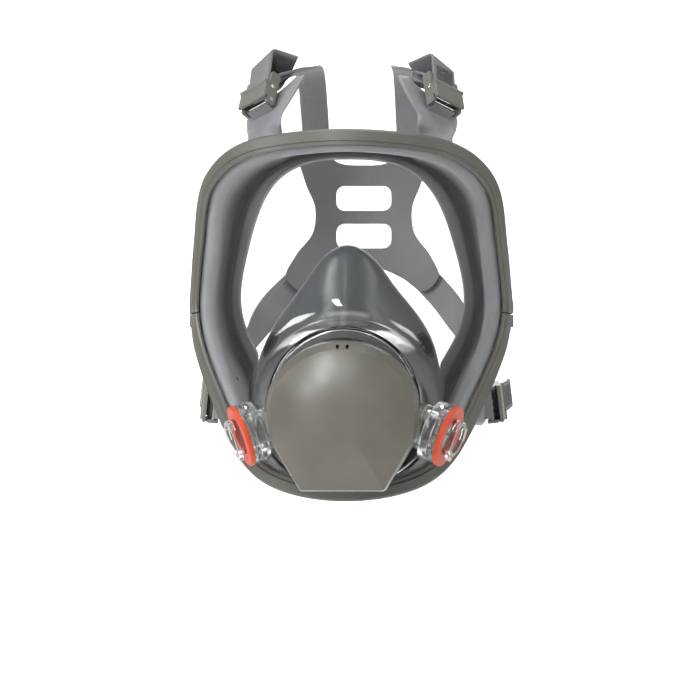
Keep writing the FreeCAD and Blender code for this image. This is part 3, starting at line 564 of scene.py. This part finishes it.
def make_window():
    rim = rim_frame(SHARES)[0]
    outer = np.array([lens_profile(p) for p in rim])
    along = unit(np.gradient(outer, axis=1))
    around = unit(np.roll(outer, -1, 0) - np.roll(outer, 1, 0))
    n = unit(np.cross(around, along))
    n = np.where(n[..., 1:2] < 0, -n, n)
    inner = outer + n * LENS_T
    section = np.concatenate([outer, inner[:, ::-1]], 1)
    window = make_object("window", section.reshape(-1, 3), grid_faces(STATIONS, section.shape[1], True, True),
                         M["lens"])
    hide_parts("lens")
    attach(window, "facepiece")
    for word, side in SIDES:
        verts, faces = port_collar(side)
        collar = make_object(f"port_collar_{word}", verts, faces, M["port"])
        sharp(collar, 35)
        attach(collar, "facepiece")


def sharp(obj, angle):
    """Smooth shading, broken at edges sharper than an angle."""
    obj.data.shade_smooth()
    bm = bmesh.new()
    bm.from_mesh(obj.data)
    for e in bm.edges:
        e.smooth = not (len(e.link_faces) == 2 and e.calc_face_angle(0) > math.radians(angle))
    bm.to_mesh(obj.data)
    bm.free()


make_window()

# ---------------------------------------------------------------- face seal
SEAL_DEPTH = 14.0  # how far behind the lip the deep fold reaches
TAB_T, TAB_BELLY = 2.4, 0.8
KNUCKLE_R, KNUCKLE_HALF = 2.7, 8  # the tab's bead round a buckle's pin


def seal_centre(shares):
    """The wall's middle line at each station: bead in the frame, side wall, deep fold, and flange to the lip."""
    p, _, b, n = rim_frame(shares)
    e = OPENING.at(shares)[0]
    span = np.hypot(p[:, 0] - e[:, 0], p[:, 2] - e[:, 2])
    y0, y1 = p[:, 1], e[:, 1] + SEAL_DEPTH

    def mix(k, least, y):
        """A point at a share of the way from the lip out to the rim, at least so far out, at a given y."""
        k = np.maximum(k, least / span)[:, None]
        q = e + (p - e) * k
        q[:, 1] = y
        return q

    ctrl = [p - b * 0.2 - n * 4.05, p - b * 4.9 - n * 4.05, p - b * 6.3 - n * 5.2, p - b * 6.9 - n * 8.2,
            mix(0.70, 9.2, y0 * 0.72 + y1 * 0.28), mix(0.60, 9.0, y0 * 0.50 + y1 * 0.50),
            mix(0.51, 8.8, y0 * 0.22 + y1 * 0.78), mix(0.42, 7.2, y1 - 1.2), mix(0.335, 5.0, y1 + 0.2),
            mix(0.28, 3.6, y1 - 3.2), mix(0.21, 2.4, e[:, 1] + 6.0), mix(0.10, 1.1, e[:, 1] + 2.6), e]
    return np.swapaxes(through(ctrl, 76), 0, 1)


def make_seal():
    centre = seal_centre(SHARES)
    t = np.linspace(0, 1, centre.shape[1])
    half = np.interp(t, [0, 0.1, 0.2, 0.5, 0.75, 0.93, 0.97, 1], [1.25, 1.2, 1.0, 1.0, 0.85, 0.6, 0.85, 0.9])
    seal = shell_ring("face_seal_body", centre, half, M["seal_ring"])
    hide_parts("face_seal")
    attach(seal, "facepiece")


make_seal()


def patch(name, one, two, thick, material, belly, rows=36, cols=15):
    """A sheet between two edge lines, with rounded borders. Belly lifts its middle."""
    a, b = through(one, rows), through(two, rows)
    s = np.linspace(0, 1, cols)[None, :, None]
    mid = a[:, None] * (1 - s) + b[:, None] * s
    lift = unit(np.cross(np.gradient(a, axis=0), b - a + 1e-6))[:, None]
    mid = mid + lift * (belly * 4 * s * (1 - s))
    n = unit(np.cross(np.gradient(mid, axis=0), np.gradient(mid, axis=1)))
    rim = np.minimum(np.minimum(s[..., 0], 1 - s[..., 0]) * np.linalg.norm(b - a, axis=1)[:, None], thick)
    end = np.linspace(0, 1, rows)[:, None] * np.linalg.norm(np.diff(a, axis=0), axis=1).sum()
    rim = np.minimum(rim, np.minimum(end + 5, end.max() - end))
    half = thick / 2 * np.sqrt(np.clip(1 - (1 - np.clip(rim / (thick / 2), 0, 1)) ** 2, 0.03, 1))
    top, low = mid + n * half[..., None], mid - n * half[..., None]
    verts = np.concatenate([top.reshape(-1, 3), low.reshape(-1, 3)])
    return make_object(name, verts, sheet_faces(rows, cols), material)


# the middle line of a tab past its pin: (along the buckle, outward)
TONGUES = {"upper": [(-12, -5.0), (-5, -5.2), (6, -6.3), (17, -8.6), (27, -14.2), (36, -20.5), (42, -25)],
           "lower": [(-12, -5.0), (-5, -5.2), (6, -6.4), (20, -7.0), (30, -8.0)]}


def on_tongue(level, x, z):
    """The point of a strap tab's sheet, on the +X side, that shows at a given x and z."""
    pin, u, v, w = axes_of(PLACES[level], 1)
    path = np.array(TONGUES[level], float)
    down = 0.0
    for _ in range(30):
        want = np.array([x, z]) - (pin + w * down)[[0, 2]]
        a, b = np.linalg.solve(np.stack([u[[0, 2]], v[[0, 2]]], 1), want)
        down = float(np.interp(b, path[:, 0], path[:, 1]))
    return pin + u * a + v * b + w * down


# the two edge lines of a strap tab, on the +X side: points from the seal's wall on, and past them the (x, z) where
# the line shows on the tab's sheet
TAB_EDGES = {
    "upper": (([(40.5, -20, 93), (38.6, -12, 101.5)],
               [(38.9, 108.5), (38.6, 113.5), (34.8, 120.4), (31.6, 127), (28.6, 133.4), (27.2, 137.2)]),
              ([(60.5, -13, 88), (58.6, -7.5, 97.5)],
               [(60.3, 106.5), (60.4, 112.5), (56.5, 118.3), (49.5, 122.5), (41.0, 127.8), (31.4, 137.6)])),
    "lower": (([(63, 4, -62), (68.5, 11, -63), (72.8, 19, -64), (74.6, 30, -64), (75.4, 40, -62), (76.0, 48, -56)],
               []),
              ([(65, 3, -36), (69.5, 10, -37), (73.4, 19, -39), (75.2, 30, -39.5), (76.0, 40, -41), (76.6, 48, -46)],
               [])),
}


def make_tab(level, word, side):
    """A flat tab that runs from the seal's wall under a buckle."""
    one, two = (np.array(points + [on_tongue(level, x, z) for x, z in shown], float) * mirror_of(side)
                for points, shown in TAB_EDGES[level])
    tab = patch(f"seal_tab_{level}_{word}", one, two, TAB_T, M["seal"], belly=TAB_BELLY * side)
    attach(tab, "facepiece")


def make_knuckle(level, word, side, steps=9):
    """The bead that holds a buckle's pin, with a foot down to the tab."""
    pin, u, v, w = axes_of(PLACES[level], side)
    across = [-KNUCKLE_HALF + 2 * KNUCKLE_HALF * k / (steps - 1) for k in range(steps)]
    prof = [(-3.6, -6.6)]
    prof += [(KNUCKLE_R * math.cos(a), KNUCKLE_R * math.sin(a)) for a in np.radians(np.linspace(-200, 20, 23))]
    prof += [(1.6, -6.8)]
    pts = np.array([[(x, a, b) for x in across] for a, b in prof])
    pts = pin + pts[..., :1] * u + pts[..., 1:2] * v + pts[..., 2:] * w
    rows, cols = pts.shape[:2]
    faces = grid_faces(rows, cols, True)
    faces += [tuple(i * cols for i in range(rows)), tuple(i * cols + cols - 1 for i in range(rows))[::-1]]
    knuckle = make_object(f"seal_knuckle_{level}_{word}", pts.reshape(-1, 3), faces, M["seal"])
    sharp(knuckle, 40)
    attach(knuckle, "facepiece")


for word, side in SIDES:
    for level in PLACES:
        make_tab(level, word, side)
        make_knuckle(level, word, side)

# ---------------------------------------------------------------- nose cup
CUP_VALVE_SHARE = 0.215  # how far round the cup's edge its valves are
CUP_NECK_R, CUP_VALVE_HOLE_R = 31.4, 8.15  # the neck sits on the adapter


def cup_side(shares):
    """Where the cup's side starts at the neck, bows and ends near the face, with its outward directions there."""
    e = CUP_EDGE.at(shares)[0]
    dx, dz = e[:, 0], e[:, 2] - BOSS_Z
    reach = np.hypot(dx, dz)
    s = np.stack([dx / reach, 0 * dx, dz / reach], -1)

    def ring(radius, y):
        return s * np.reshape(radius, (-1, 1)) + np.stack([0 * dx, 0 * dx + y, 0 * dx + BOSS_Z], -1)

    start, end = ring(CUP_NECK_R + 1.0, -60.0), ring(reach + 1.5, e[:, 1] - 9)
    bend = start + (end - start) * 0.5 + s * (3.5 - 3.0 * np.maximum(0, s[:, 2:]))
    return start, bend, end, s, ring


def cup_centre(shares):
    """The cup's wall from its neck on the adapter to the turned-in edge on the face."""
    start, bend, end, s, ring = cup_side(shares)
    e = CUP_EDGE.at(shares)[0]
    r = CUP_NECK_R
    ctrl = [ring(r, -78.5), ring(r, -74), ring(r, -69), start, bend, end, e + s * 1.2 + (0, -3, 0),
            e - s * 1.2 + (0, 0.8, 0), e - s * 4.5 + (0, 2.5, 0)]
    return np.swapaxes(through(ctrl, 60), 0, 1)


def cup_valve_place():
    """Centre and outward direction of the hole for a cup valve, on the +X side."""
    shares = np.array([CUP_VALVE_SHARE])
    _, bend, end, _, _ = cup_side(shares)
    outward = unit(np.cross(end - bend, CUP_EDGE.at(shares)[1]))[0]
    return ((bend + end) / 2)[0], outward if outward[1] < 0 else -outward


def apply_modifiers(obj):
    graph = bpy.context.evaluated_depsgraph_get()
    mesh = bpy.data.meshes.new_from_object(obj.evaluated_get(graph), depsgraph=graph)
    obj.modifiers.clear()
    obj.data = mesh


def carve(obj, cutter, operation="DIFFERENCE"):
    """Cuts a piece with another, which is then removed."""
    mod = obj.modifiers.new("cut", "BOOLEAN")
    mod.object, mod.operation, mod.solver = cutter, operation, "EXACT"
    apply_modifiers(obj)
    bpy.data.objects.remove(cutter)


def cut_round(obj, at, axis, radius, depth=12):
    """Cuts a round hole through a piece."""
    bm = bmesh.new()
    bmesh.ops.create_cone(bm, cap_ends=True, segments=64, radius1=radius * MM, radius2=radius * MM, depth=depth * MM)
    turn = Vector((0, 0, 1)).rotation_difference(Vector(axis)).to_matrix().to_4x4()
    bm.transform(Matrix.Translation(Vector(at) * MM) @ turn)
    mesh = bpy.data.meshes.new("cutter")
    bm.to_mesh(mesh)
    bm.free()
    cutter = bpy.data.objects.new("cutter", mesh)
    bpy.context.scene.collection.objects.link(cutter)
    carve(obj, cutter)


def cut_box(obj, low, high):
    """Cuts a straight-sided notch into a piece."""
    verts = [(x, y, z) for x in (low[0], high[0]) for y in (low[1], high[1]) for z in (low[2], high[2])]
    faces = [(0, 1, 3, 2), (4, 6, 7, 5), (0, 4, 5, 1), (2, 3, 7, 6), (0, 2, 6, 4), (1, 5, 7, 3)]
    carve(obj, make_object("cutter", verts, faces, M["cover"], smooth=False))


def make_cup():
    centre = cup_centre(SHARES)
    t = np.linspace(0, 1, centre.shape[1])
    half = np.interp(t, [0, 0.1, 0.5, 0.85, 0.95, 1], [1.1, 1.0, 1.0, 0.95, 0.75, 0.6])
    cup = shell_ring("nose_cup_body", centre, half, M["cup"])
    at, axis = cup_valve_place()
    for _, side in SIDES:
        cut_round(cup, at * mirror_of(side), axis * mirror_of(side), CUP_VALVE_HOLE_R)
    sharp(cup, 50)
    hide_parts("nose_cup")
    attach(cup, "facepiece")


make_cup()

# ---------------------------------------------------------------- front cover
# the y of its open back and of its face's edge, how far the face domes out, and the bottom corners; the same inside
COVER_BACK_Y, COVER_FACE_Y, COVER_DOME, COVER_CORNER = -88.6, -103.0, 4.6, 1.6
COVER_WALL, COVER_INNER_Y, COVER_INNER_DOME = 1.7, -101.4, 4.2
# how far the flat face's edge lies inside the outline, at heights from the bottom to the top
COVER_BORDER = ((-98, -75, -50, -16), (0.8, 1.7, 2.6, 5.2))
# the air outlet's notch in the bottom edge, and the two small slots at the top
OUTLET_LOW, OUTLET_HIGH = (-17, -95.6, -103), (17, -88.1, -91)
SLOT_X, SLOT_HALF, SLOT_Z = 2.7, 0.8, (-19.8, -17.6)


def cover_line():
    """The cover's outline, as an even line with its two bottom corners rounded."""
    half = [np.array((x, 0, z)) for x, z in COVER_HALF]
    arc = through([q * FLIP for q in half[:0:-1]] + half, 240)
    corner, run, r = arc[-1], unit(arc[-8] - arc[-1]), COVER_CORNER
    turn = [corner + run * r * (1 - t) ** 2 + np.array((-r, 0, 0)) * t ** 2 for t in np.linspace(0, 1, 7)]
    arc = [q for q in arc if np.linalg.norm(q - corner) > r and np.linalg.norm(q - corner * FLIP) > r]
    bottom = [corner + (turn[-1] - corner) * (1 - t) + (turn[-1] * FLIP - corner) * t
              for t in np.linspace(0, 1, 41)[1:-1]]
    return np.array(list(arc) + turn + bottom + [q * FLIP for q in turn[::-1]])


def make_cover():
    """The front cover's thin domed shell: flank, shoulder and face, and the same inside."""
    line = cover_line()
    out = unit(np.roll(line, -1, 0) - np.roll(line, 1, 0))
    out = np.stack([-out[:, 2], 0 * out[:, 0], out[:, 0]], 1)
    out *= np.sign(np.sum(out * (line - (0, 0, COVER_MID)), axis=1).mean())
    inset = np.interp(line[:, 2], *COVER_BORDER)[:, None]

    def row(share, y, wall=0.0):
        """The outline at a share of the border's width, at a given y."""
        return line - out * (inset * share + wall) + (0, y, 0)

    def face(edge, dome):
        centre = np.array((0, edge[0, 1], COVER_MID - 3))
        return [centre + (edge - centre) * t + (0, -dome * (1 - t ** 3), 0) for t in np.linspace(1, 0.004, 26)]

    outer = [row(*q) for q in ((0, COVER_BACK_Y), (0.05, -92.5), (0.12, -96.0), (0.22, -97.4), (0.84, -101.6),
                               (0.93, -102.5))]
    outer += face(row(1.0, COVER_FACE_Y), COVER_DOME)
    inner = [row(*q) for q in ((0, COVER_BACK_Y, 1.3), (0.1, -95.5, 1.3), (0.8, -100.4, 1.6))]
    inner += face(row(1.0, COVER_INNER_Y, COVER_WALL), COVER_INNER_DOME)
    rows = np.array(inner[::-1] + outer)
    count = rows.shape[1]
    cover = make_object("front_cover_shell", rows.reshape(-1, 3), capped_tube(len(rows), count), M["cover"])
    cut_box(cover, OUTLET_LOW, OUTLET_HIGH)
    for x in (-SLOT_X, SLOT_X):
        cut_box(cover, (x - SLOT_HALF, -110, SLOT_Z[0]), (x + SLOT_HALF, -96, SLOT_Z[1]))
    sharp(cover, 32)
    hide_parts("front_cover")
    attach(cover, "cover")


make_cover()

# ---------------------------------------------------------------- straps
# the middle line of a threaded end from behind its buckle up to the roller: (along the buckle, outward)
RESTS = {"upper": [(33.0, -13.7), (31.5, -12.2), (27.5, -8.4), (22.8, -4.0), (19.0, -2.1)],
         "lower": [(35.9, -8.4), (34.6, -7.7), (30.4, -5.3), (26, -3.1), (20.5, -2.0)]}
LOWER_TAIL = [(22, 4.2), (30, 5.4), (40, 6.2), (42.5, 6.2)]
# two places along a threaded end, in the same two lengths; they are only turned into metres, and nothing bends the
# strap between them
BEND_START, BEND_ENDS = (21, -3), {"upper": (33, -13.7), "lower": (36.6, -9)}
FRONT_STEPS, REAR_STEPS = {"upper": 200, "lower": 120}, 110
TURN_R = ROLLER_R + 0.1 + STRAP_T / 2  # of a strap's middle line round its roller
TURN_RUN = 6


def threaded(level, side, tail):
    """Path of a strap's threaded end: from behind the buckle, round the roller and out as the free tail."""
    pin, u, v, w = axes_of(PLACES[level], side)
    local = RESTS[level] + [(ROLLER_V + TURN_RUN, ROLLER_W - TURN_R), (ROLLER_V, ROLLER_W - TURN_R)]
    local += [(ROLLER_V - TURN_R * math.sin(math.radians(a)), ROLLER_W - TURN_R * math.cos(math.radians(a)))
              for a in (30, 60, 90, 120, 150, 180)]
    local += [(ROLLER_V + TURN_RUN, ROLLER_W + TURN_R)]
    pts = [pin + v * a + w * b for a, b in local] + list(tail)
    return np.array(pts), np.array([u] * len(pts))


def pad_point(x, z, lift):
    """A point lifted off the head pad's back, at a given x and z."""
    r = PAD_R + PAD_T
    p = np.array([x, PAD_CENTRE[1] + math.sqrt(r ** 2 - x ** 2 - (z - PAD_CENTRE[2]) ** 2), z])
    return p + unit(p - PAD_CENTRE) * lift


# where the free tails of the upper straps fold back: along the buckle at the outer and at the inner edge, the
# fold's radius and degrees, and the length past it
UPPER_FOLDS = {1: (24.5, 30.0, 2.8, 104, 15.0), -1: (27.0, 33.5, 2.8, 100, 16.0)}


def upper_tail(side):
    """The straight run on from an upper buckle's roller, and the fold in it."""
    pin, u, v, w = axes_of(UPPER, side)
    outer, inner, radius, degrees, length = UPPER_FOLDS[side]
    inward = u * (-1 if u[0] * side > 0 else 1)
    slope = unit(v + w * 0.10)
    start = pin + v * (ROLLER_V + TURN_RUN) + w * (ROLLER_W + TURN_R)
    reach = (outer + inner) / 2 - ROLLER_V - TURN_RUN
    tail = [start + slope * (reach + radius * math.radians(degrees) + length) * t for t in np.linspace(0.12, 1, 9)]
    crease = unit(inward * STRAP_W + slope * (inner - outer))
    onward = unit(slope - crease * np.dot(slope, crease))
    if np.dot(np.cross(crease, onward), w) < 0:
        crease = -crease
    return tail, (start + slope * reach, crease, onward, radius, degrees)


def make_front_strap(level, word, side, tail, fold=None):
    """A strap's threaded end, from behind its buckle round the roller to its free tail."""
    place = PLACES[level]
    front = ribbon(f"strap_front_{level}_{word}", *threaded(level, side, tail), FRONT_STEPS[level], fold)
    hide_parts(f"strap_end_{level}_{word}")
    metres(local_of(place, side, *BEND_START))
    metres(local_of(place, side, *BEND_ENDS[level]))
    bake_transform(front)


def make_rear_strap(level, word, side, points, dirs):
    """A strap from behind its buckle to the head pad, from a line on the +X side."""
    mirror = mirror_of(side)
    rear = ribbon(f"strap_rear_{level}_{word}", np.array(points) * mirror, np.array(dirs) * mirror, REAR_STEPS)
    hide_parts(f"strap_{level}_{word}")
    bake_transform(rear)


def rear_upper_line():
    """Points of an upper strap over the head, with its side directions."""
    _, u, _, _ = axes_of(UPPER, 1)
    points = [local_of(UPPER, 1, 33.0, -13.7), local_of(UPPER, 1, 36.0, -16.4), (31.5, 46, 141.2), (28.5, 80, 144.0),
              (28.5, 114, 140), (28.5, 144, 122.5), pad_point(27, 96, 1.8), pad_point(25, 84, 1.9)]
    dirs = [u, u, (1, 0.25, -0.35), (1, 0, -0.3), (1, 0, -0.25), (1, -0.1, -0.2), (1, -0.3, -0.1), (1, -0.3, 0)]
    return points, dirs


def rear_lower_line():
    """Points of a lower strap round the neck and up the head pad, with its side directions."""
    _, u, _, _ = axes_of(LOWER, 1)
    points = [local_of(LOWER, 1, 37.2, -9.1), local_of(LOWER, 1, 40.5, -10.8), (76, 88, -37), (68, 120, -17),
              pad_point(52, 8, 1.5), pad_point(45, 16, 1.6), pad_point(36, 25, 1.5), pad_point(27, 34, 1.4)]
    run = points[5] - points[4]
    on_pad = np.array([unit(np.cross(unit(p - PAD_CENTRE), run)) for p in points[4:]])
    if np.dot(on_pad[0], (0, 0.4, -1)) < 0:
        on_pad = -on_pad
    return points, [u, u, (0, -0.1, -1), (0, 0.4, -1)] + list(on_pad)


for word, side in SIDES:
    tail, fold = upper_tail(side)
    make_front_strap("upper", word, side, tail, fold)
    make_front_strap("lower", word, side, [local_of(LOWER, side, a, b) for a, b in LOWER_TAIL])
    make_rear_strap("upper", word, side, *rear_upper_line())
    make_rear_strap("lower", word, side, *rear_lower_line())

# ---------------------------------------------------------------- head pad
# the shell's grid with its reach in x and z, the two windows' heights and shape, and the outline
PAD_GRID, PAD_X, PAD_Z, PAD_BEVEL = 72, (-56, 56), (4, 112), 0.8
PAD_WINDOWS, PAD_WINDOW_HALF, PAD_WINDOW_R = (72, 49), (12, 2.5), 5
PAD_HALF = [(0, 92), (14, 93), (30, 102), (38, 97), (36, 82), (30, 66), (31, 52), (42, 36), (47, 24), (38, 15),
            (24, 23), (10, 29), (0, 30)]


def closed_curve(points, count, fine=1200):
    """Even points round a smooth closed line, which is drawn with an overlap and trimmed."""
    p = np.array(points, float)
    wrapped = np.vstack([p[-3:], p, p[:4]])
    t = np.r_[0, np.cumsum(np.linalg.norm(np.diff(wrapped, axis=0), axis=1))]
    x = np.linspace(0, t[-1], fine)
    line = through(wrapped, fine)[(x >= t[3]) & (x < t[3 + len(p)])]
    return line[np.linspace(0, len(line) - 1, count).astype(int)]


def rounded_box(z, half_x, half_z, r):
    """Outline of a window in the head pad, with round corners of radius r about (half_x, half_z)."""
    line = []
    for sx, sz, start in ((1, 1, 0), (-1, 1, 90), (-1, -1, 180), (1, -1, 270)):
        line += [(sx * half_x + r * math.cos(math.radians(start + 15 * k)), 0,
                  z + sz * half_z + r * math.sin(math.radians(start + 15 * k))) for k in range(7)]
    return line


def prism(outline, y0=100, y1=215):
    """A straight-sided block through the head pad, from an outline in the xz plane."""
    n = len(outline)
    verts = [(x, y, z) for y in (y0, y1) for x, _, z in outline]
    faces = [tuple(range(n)), tuple(range(2 * n - 1, n - 1, -1))]
    faces += [(i, i + n, (i + 1) % n + n, (i + 1) % n) for i in range(n)]
    return make_object("cutter", verts, faces, M["pad"], smooth=False)


def make_pad():
    """The head pad: a piece of a round shell, cut to its outline, with two windows and rounded edges."""
    layers = []
    for r in (PAD_R, PAD_R + PAD_T):
        x, z = np.meshgrid(np.linspace(*PAD_X, PAD_GRID), np.linspace(*PAD_Z, PAD_GRID))
        y = PAD_CENTRE[1] + np.sqrt(r ** 2 - x ** 2 - (z - PAD_CENTRE[2]) ** 2)
        layers.append(np.stack([x, y, z], -1).reshape(-1, 3))
    pad = make_object("head_pad_body", np.concatenate(layers), sheet_faces(PAD_GRID, PAD_GRID), M["pad"])
    outline = closed_curve([(x, 0, z) for x, z in PAD_HALF] + [(-x, 0, z) for x, z in PAD_HALF[-2:0:-1]], 160)
    carve(pad, prism(outline), "INTERSECT")
    for z in PAD_WINDOWS:
        carve(pad, prism(rounded_box(z, *PAD_WINDOW_HALF, PAD_WINDOW_R)))
    bevel = pad.modifiers.new("edge", "BEVEL")
    bevel.width, bevel.segments, bevel.limit_method, bevel.angle_limit = PAD_BEVEL * MM, 3, "ANGLE", math.radians(50)
    apply_modifiers(pad)
    sharp(pad, 60)
    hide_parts("head_pad")
    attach(pad, "harness")


make_pad()

# ---------------------------------------------------------------- stage, light and camera
# all in metres: floor height, how wide and deep the stage is, where it curves up to the backdrop, and how high that is
FLOOR_Z, STAGE_HALF, STAGE_FRONT, STAGE_BEND_Y, STAGE_BEND_R, STAGE_TOP = -0.33, 5.0, -5.0, 2.9, 0.9, 4.5
# place, aim, width, power in watts, and height
LIGHTS = {
    "key_front": ((-0.30, -1.6, 0.60), (0, -0.03, -0.02), 0.16, 13, 0.9),
    "side_left": ((-1.25, -0.75, 0.70), (0, 0, 0.0), 0.6, 19, 0.8),
    "side_right": ((1.3, -0.4, 0.75), (0, 0, 0.0), 0.5, 6, 0.6),
    "top": ((0.0, 0.1, 1.3), (0, 0, 0), 0.9, 3.5, 0.9),
    "back_wash": ((0.0, 2.9, 1.9), (0, 3.6, 0.0), 2.4, 95, 2.4),
    "floor_wash": ((0.0, -0.1, 2.2), (0, 0.6, -0.33), 1.8, 14, 1.8),
}
SENSOR, CAMERA_DISTANCE, PICTURE_WIDTH, CAMERA_AZIMUTH = 36, 2.6, 0.4004, math.radians(2.65)
CAMERA_TARGET = Vector((-0.00036, 0, -0.0206))


def make_light(name, at, aim, width, power, height):
    light = bpy.data.lights.new(name, "AREA")
    light.shape = "RECTANGLE"
    light.size, light.size_y, light.energy = width, height, power
    obj = bpy.data.objects.new(name, light)
    obj.location = at
    obj.rotation_euler = (Vector(aim) - Vector(at)).to_track_quat("-Z", "Y").to_euler()
    bpy.context.scene.collection.objects.link(obj)


def make_stage():
    """A pale floor that curves up into a pale backdrop."""
    r = STAGE_BEND_R
    prof = [(STAGE_FRONT, 0.0), (STAGE_BEND_Y, 0.0)]
    prof += [(STAGE_BEND_Y + r * math.sin(a), r - r * math.cos(a)) for a in np.linspace(0, math.pi / 2, 16)[1:]]
    prof += [(STAGE_BEND_Y + r, STAGE_TOP)]
    verts = [(x / MM, y / MM, (z + FLOOR_Z) / MM) for x in (-STAGE_HALF, STAGE_HALF) for y, z in prof]
    k = len(prof)
    faces = [(i, i + 1, i + 1 + k, i + k) for i in range(k - 1)]
    n = Nodes("pale_stage")
    n.link(n.ramp(n.noise(3, 2), [(0.3, (0.90, 0.90, 0.90)), (0.7, (0.92, 0.92, 0.92))]),
           n.shader.inputs["Base Color"])
    n.set(Roughness=0.85)
    floor = make_object("stage_floor", verts, faces, n.material)


def make_world(strength=0.30):
    world = bpy.data.worlds.new("studio")
    world.use_nodes = True
    world.node_tree.nodes["Background"].inputs["Color"].default_value = (1.0, 1.0, 1.0, 1)
    world.node_tree.nodes["Background"].inputs["Strength"].default_value = strength
    bpy.context.scene.world = world


def make_camera():
    """A long lens, a little to the right of the middle, as the photo was taken."""
    camera = bpy.data.cameras.new("camera")
    camera.sensor_width = SENSOR
    camera.lens = SENSOR * CAMERA_DISTANCE / PICTURE_WIDTH
    eye = bpy.data.objects.new("camera", camera)
    toward = Vector((math.sin(CAMERA_AZIMUTH), -math.cos(CAMERA_AZIMUTH), 0))
    eye.location = CAMERA_TARGET + toward * CAMERA_DISTANCE
    eye.rotation_euler = (CAMERA_TARGET - eye.location).to_track_quat("-Z", "Y").to_euler()
    bpy.context.scene.collection.objects.link(eye)
    bpy.context.scene.camera = eye


make_stage()
make_world()
for name, light in LIGHTS.items():
    make_light(name, *light)
make_camera()
bpy.context.scene.view_settings.view_transform = "Standard"
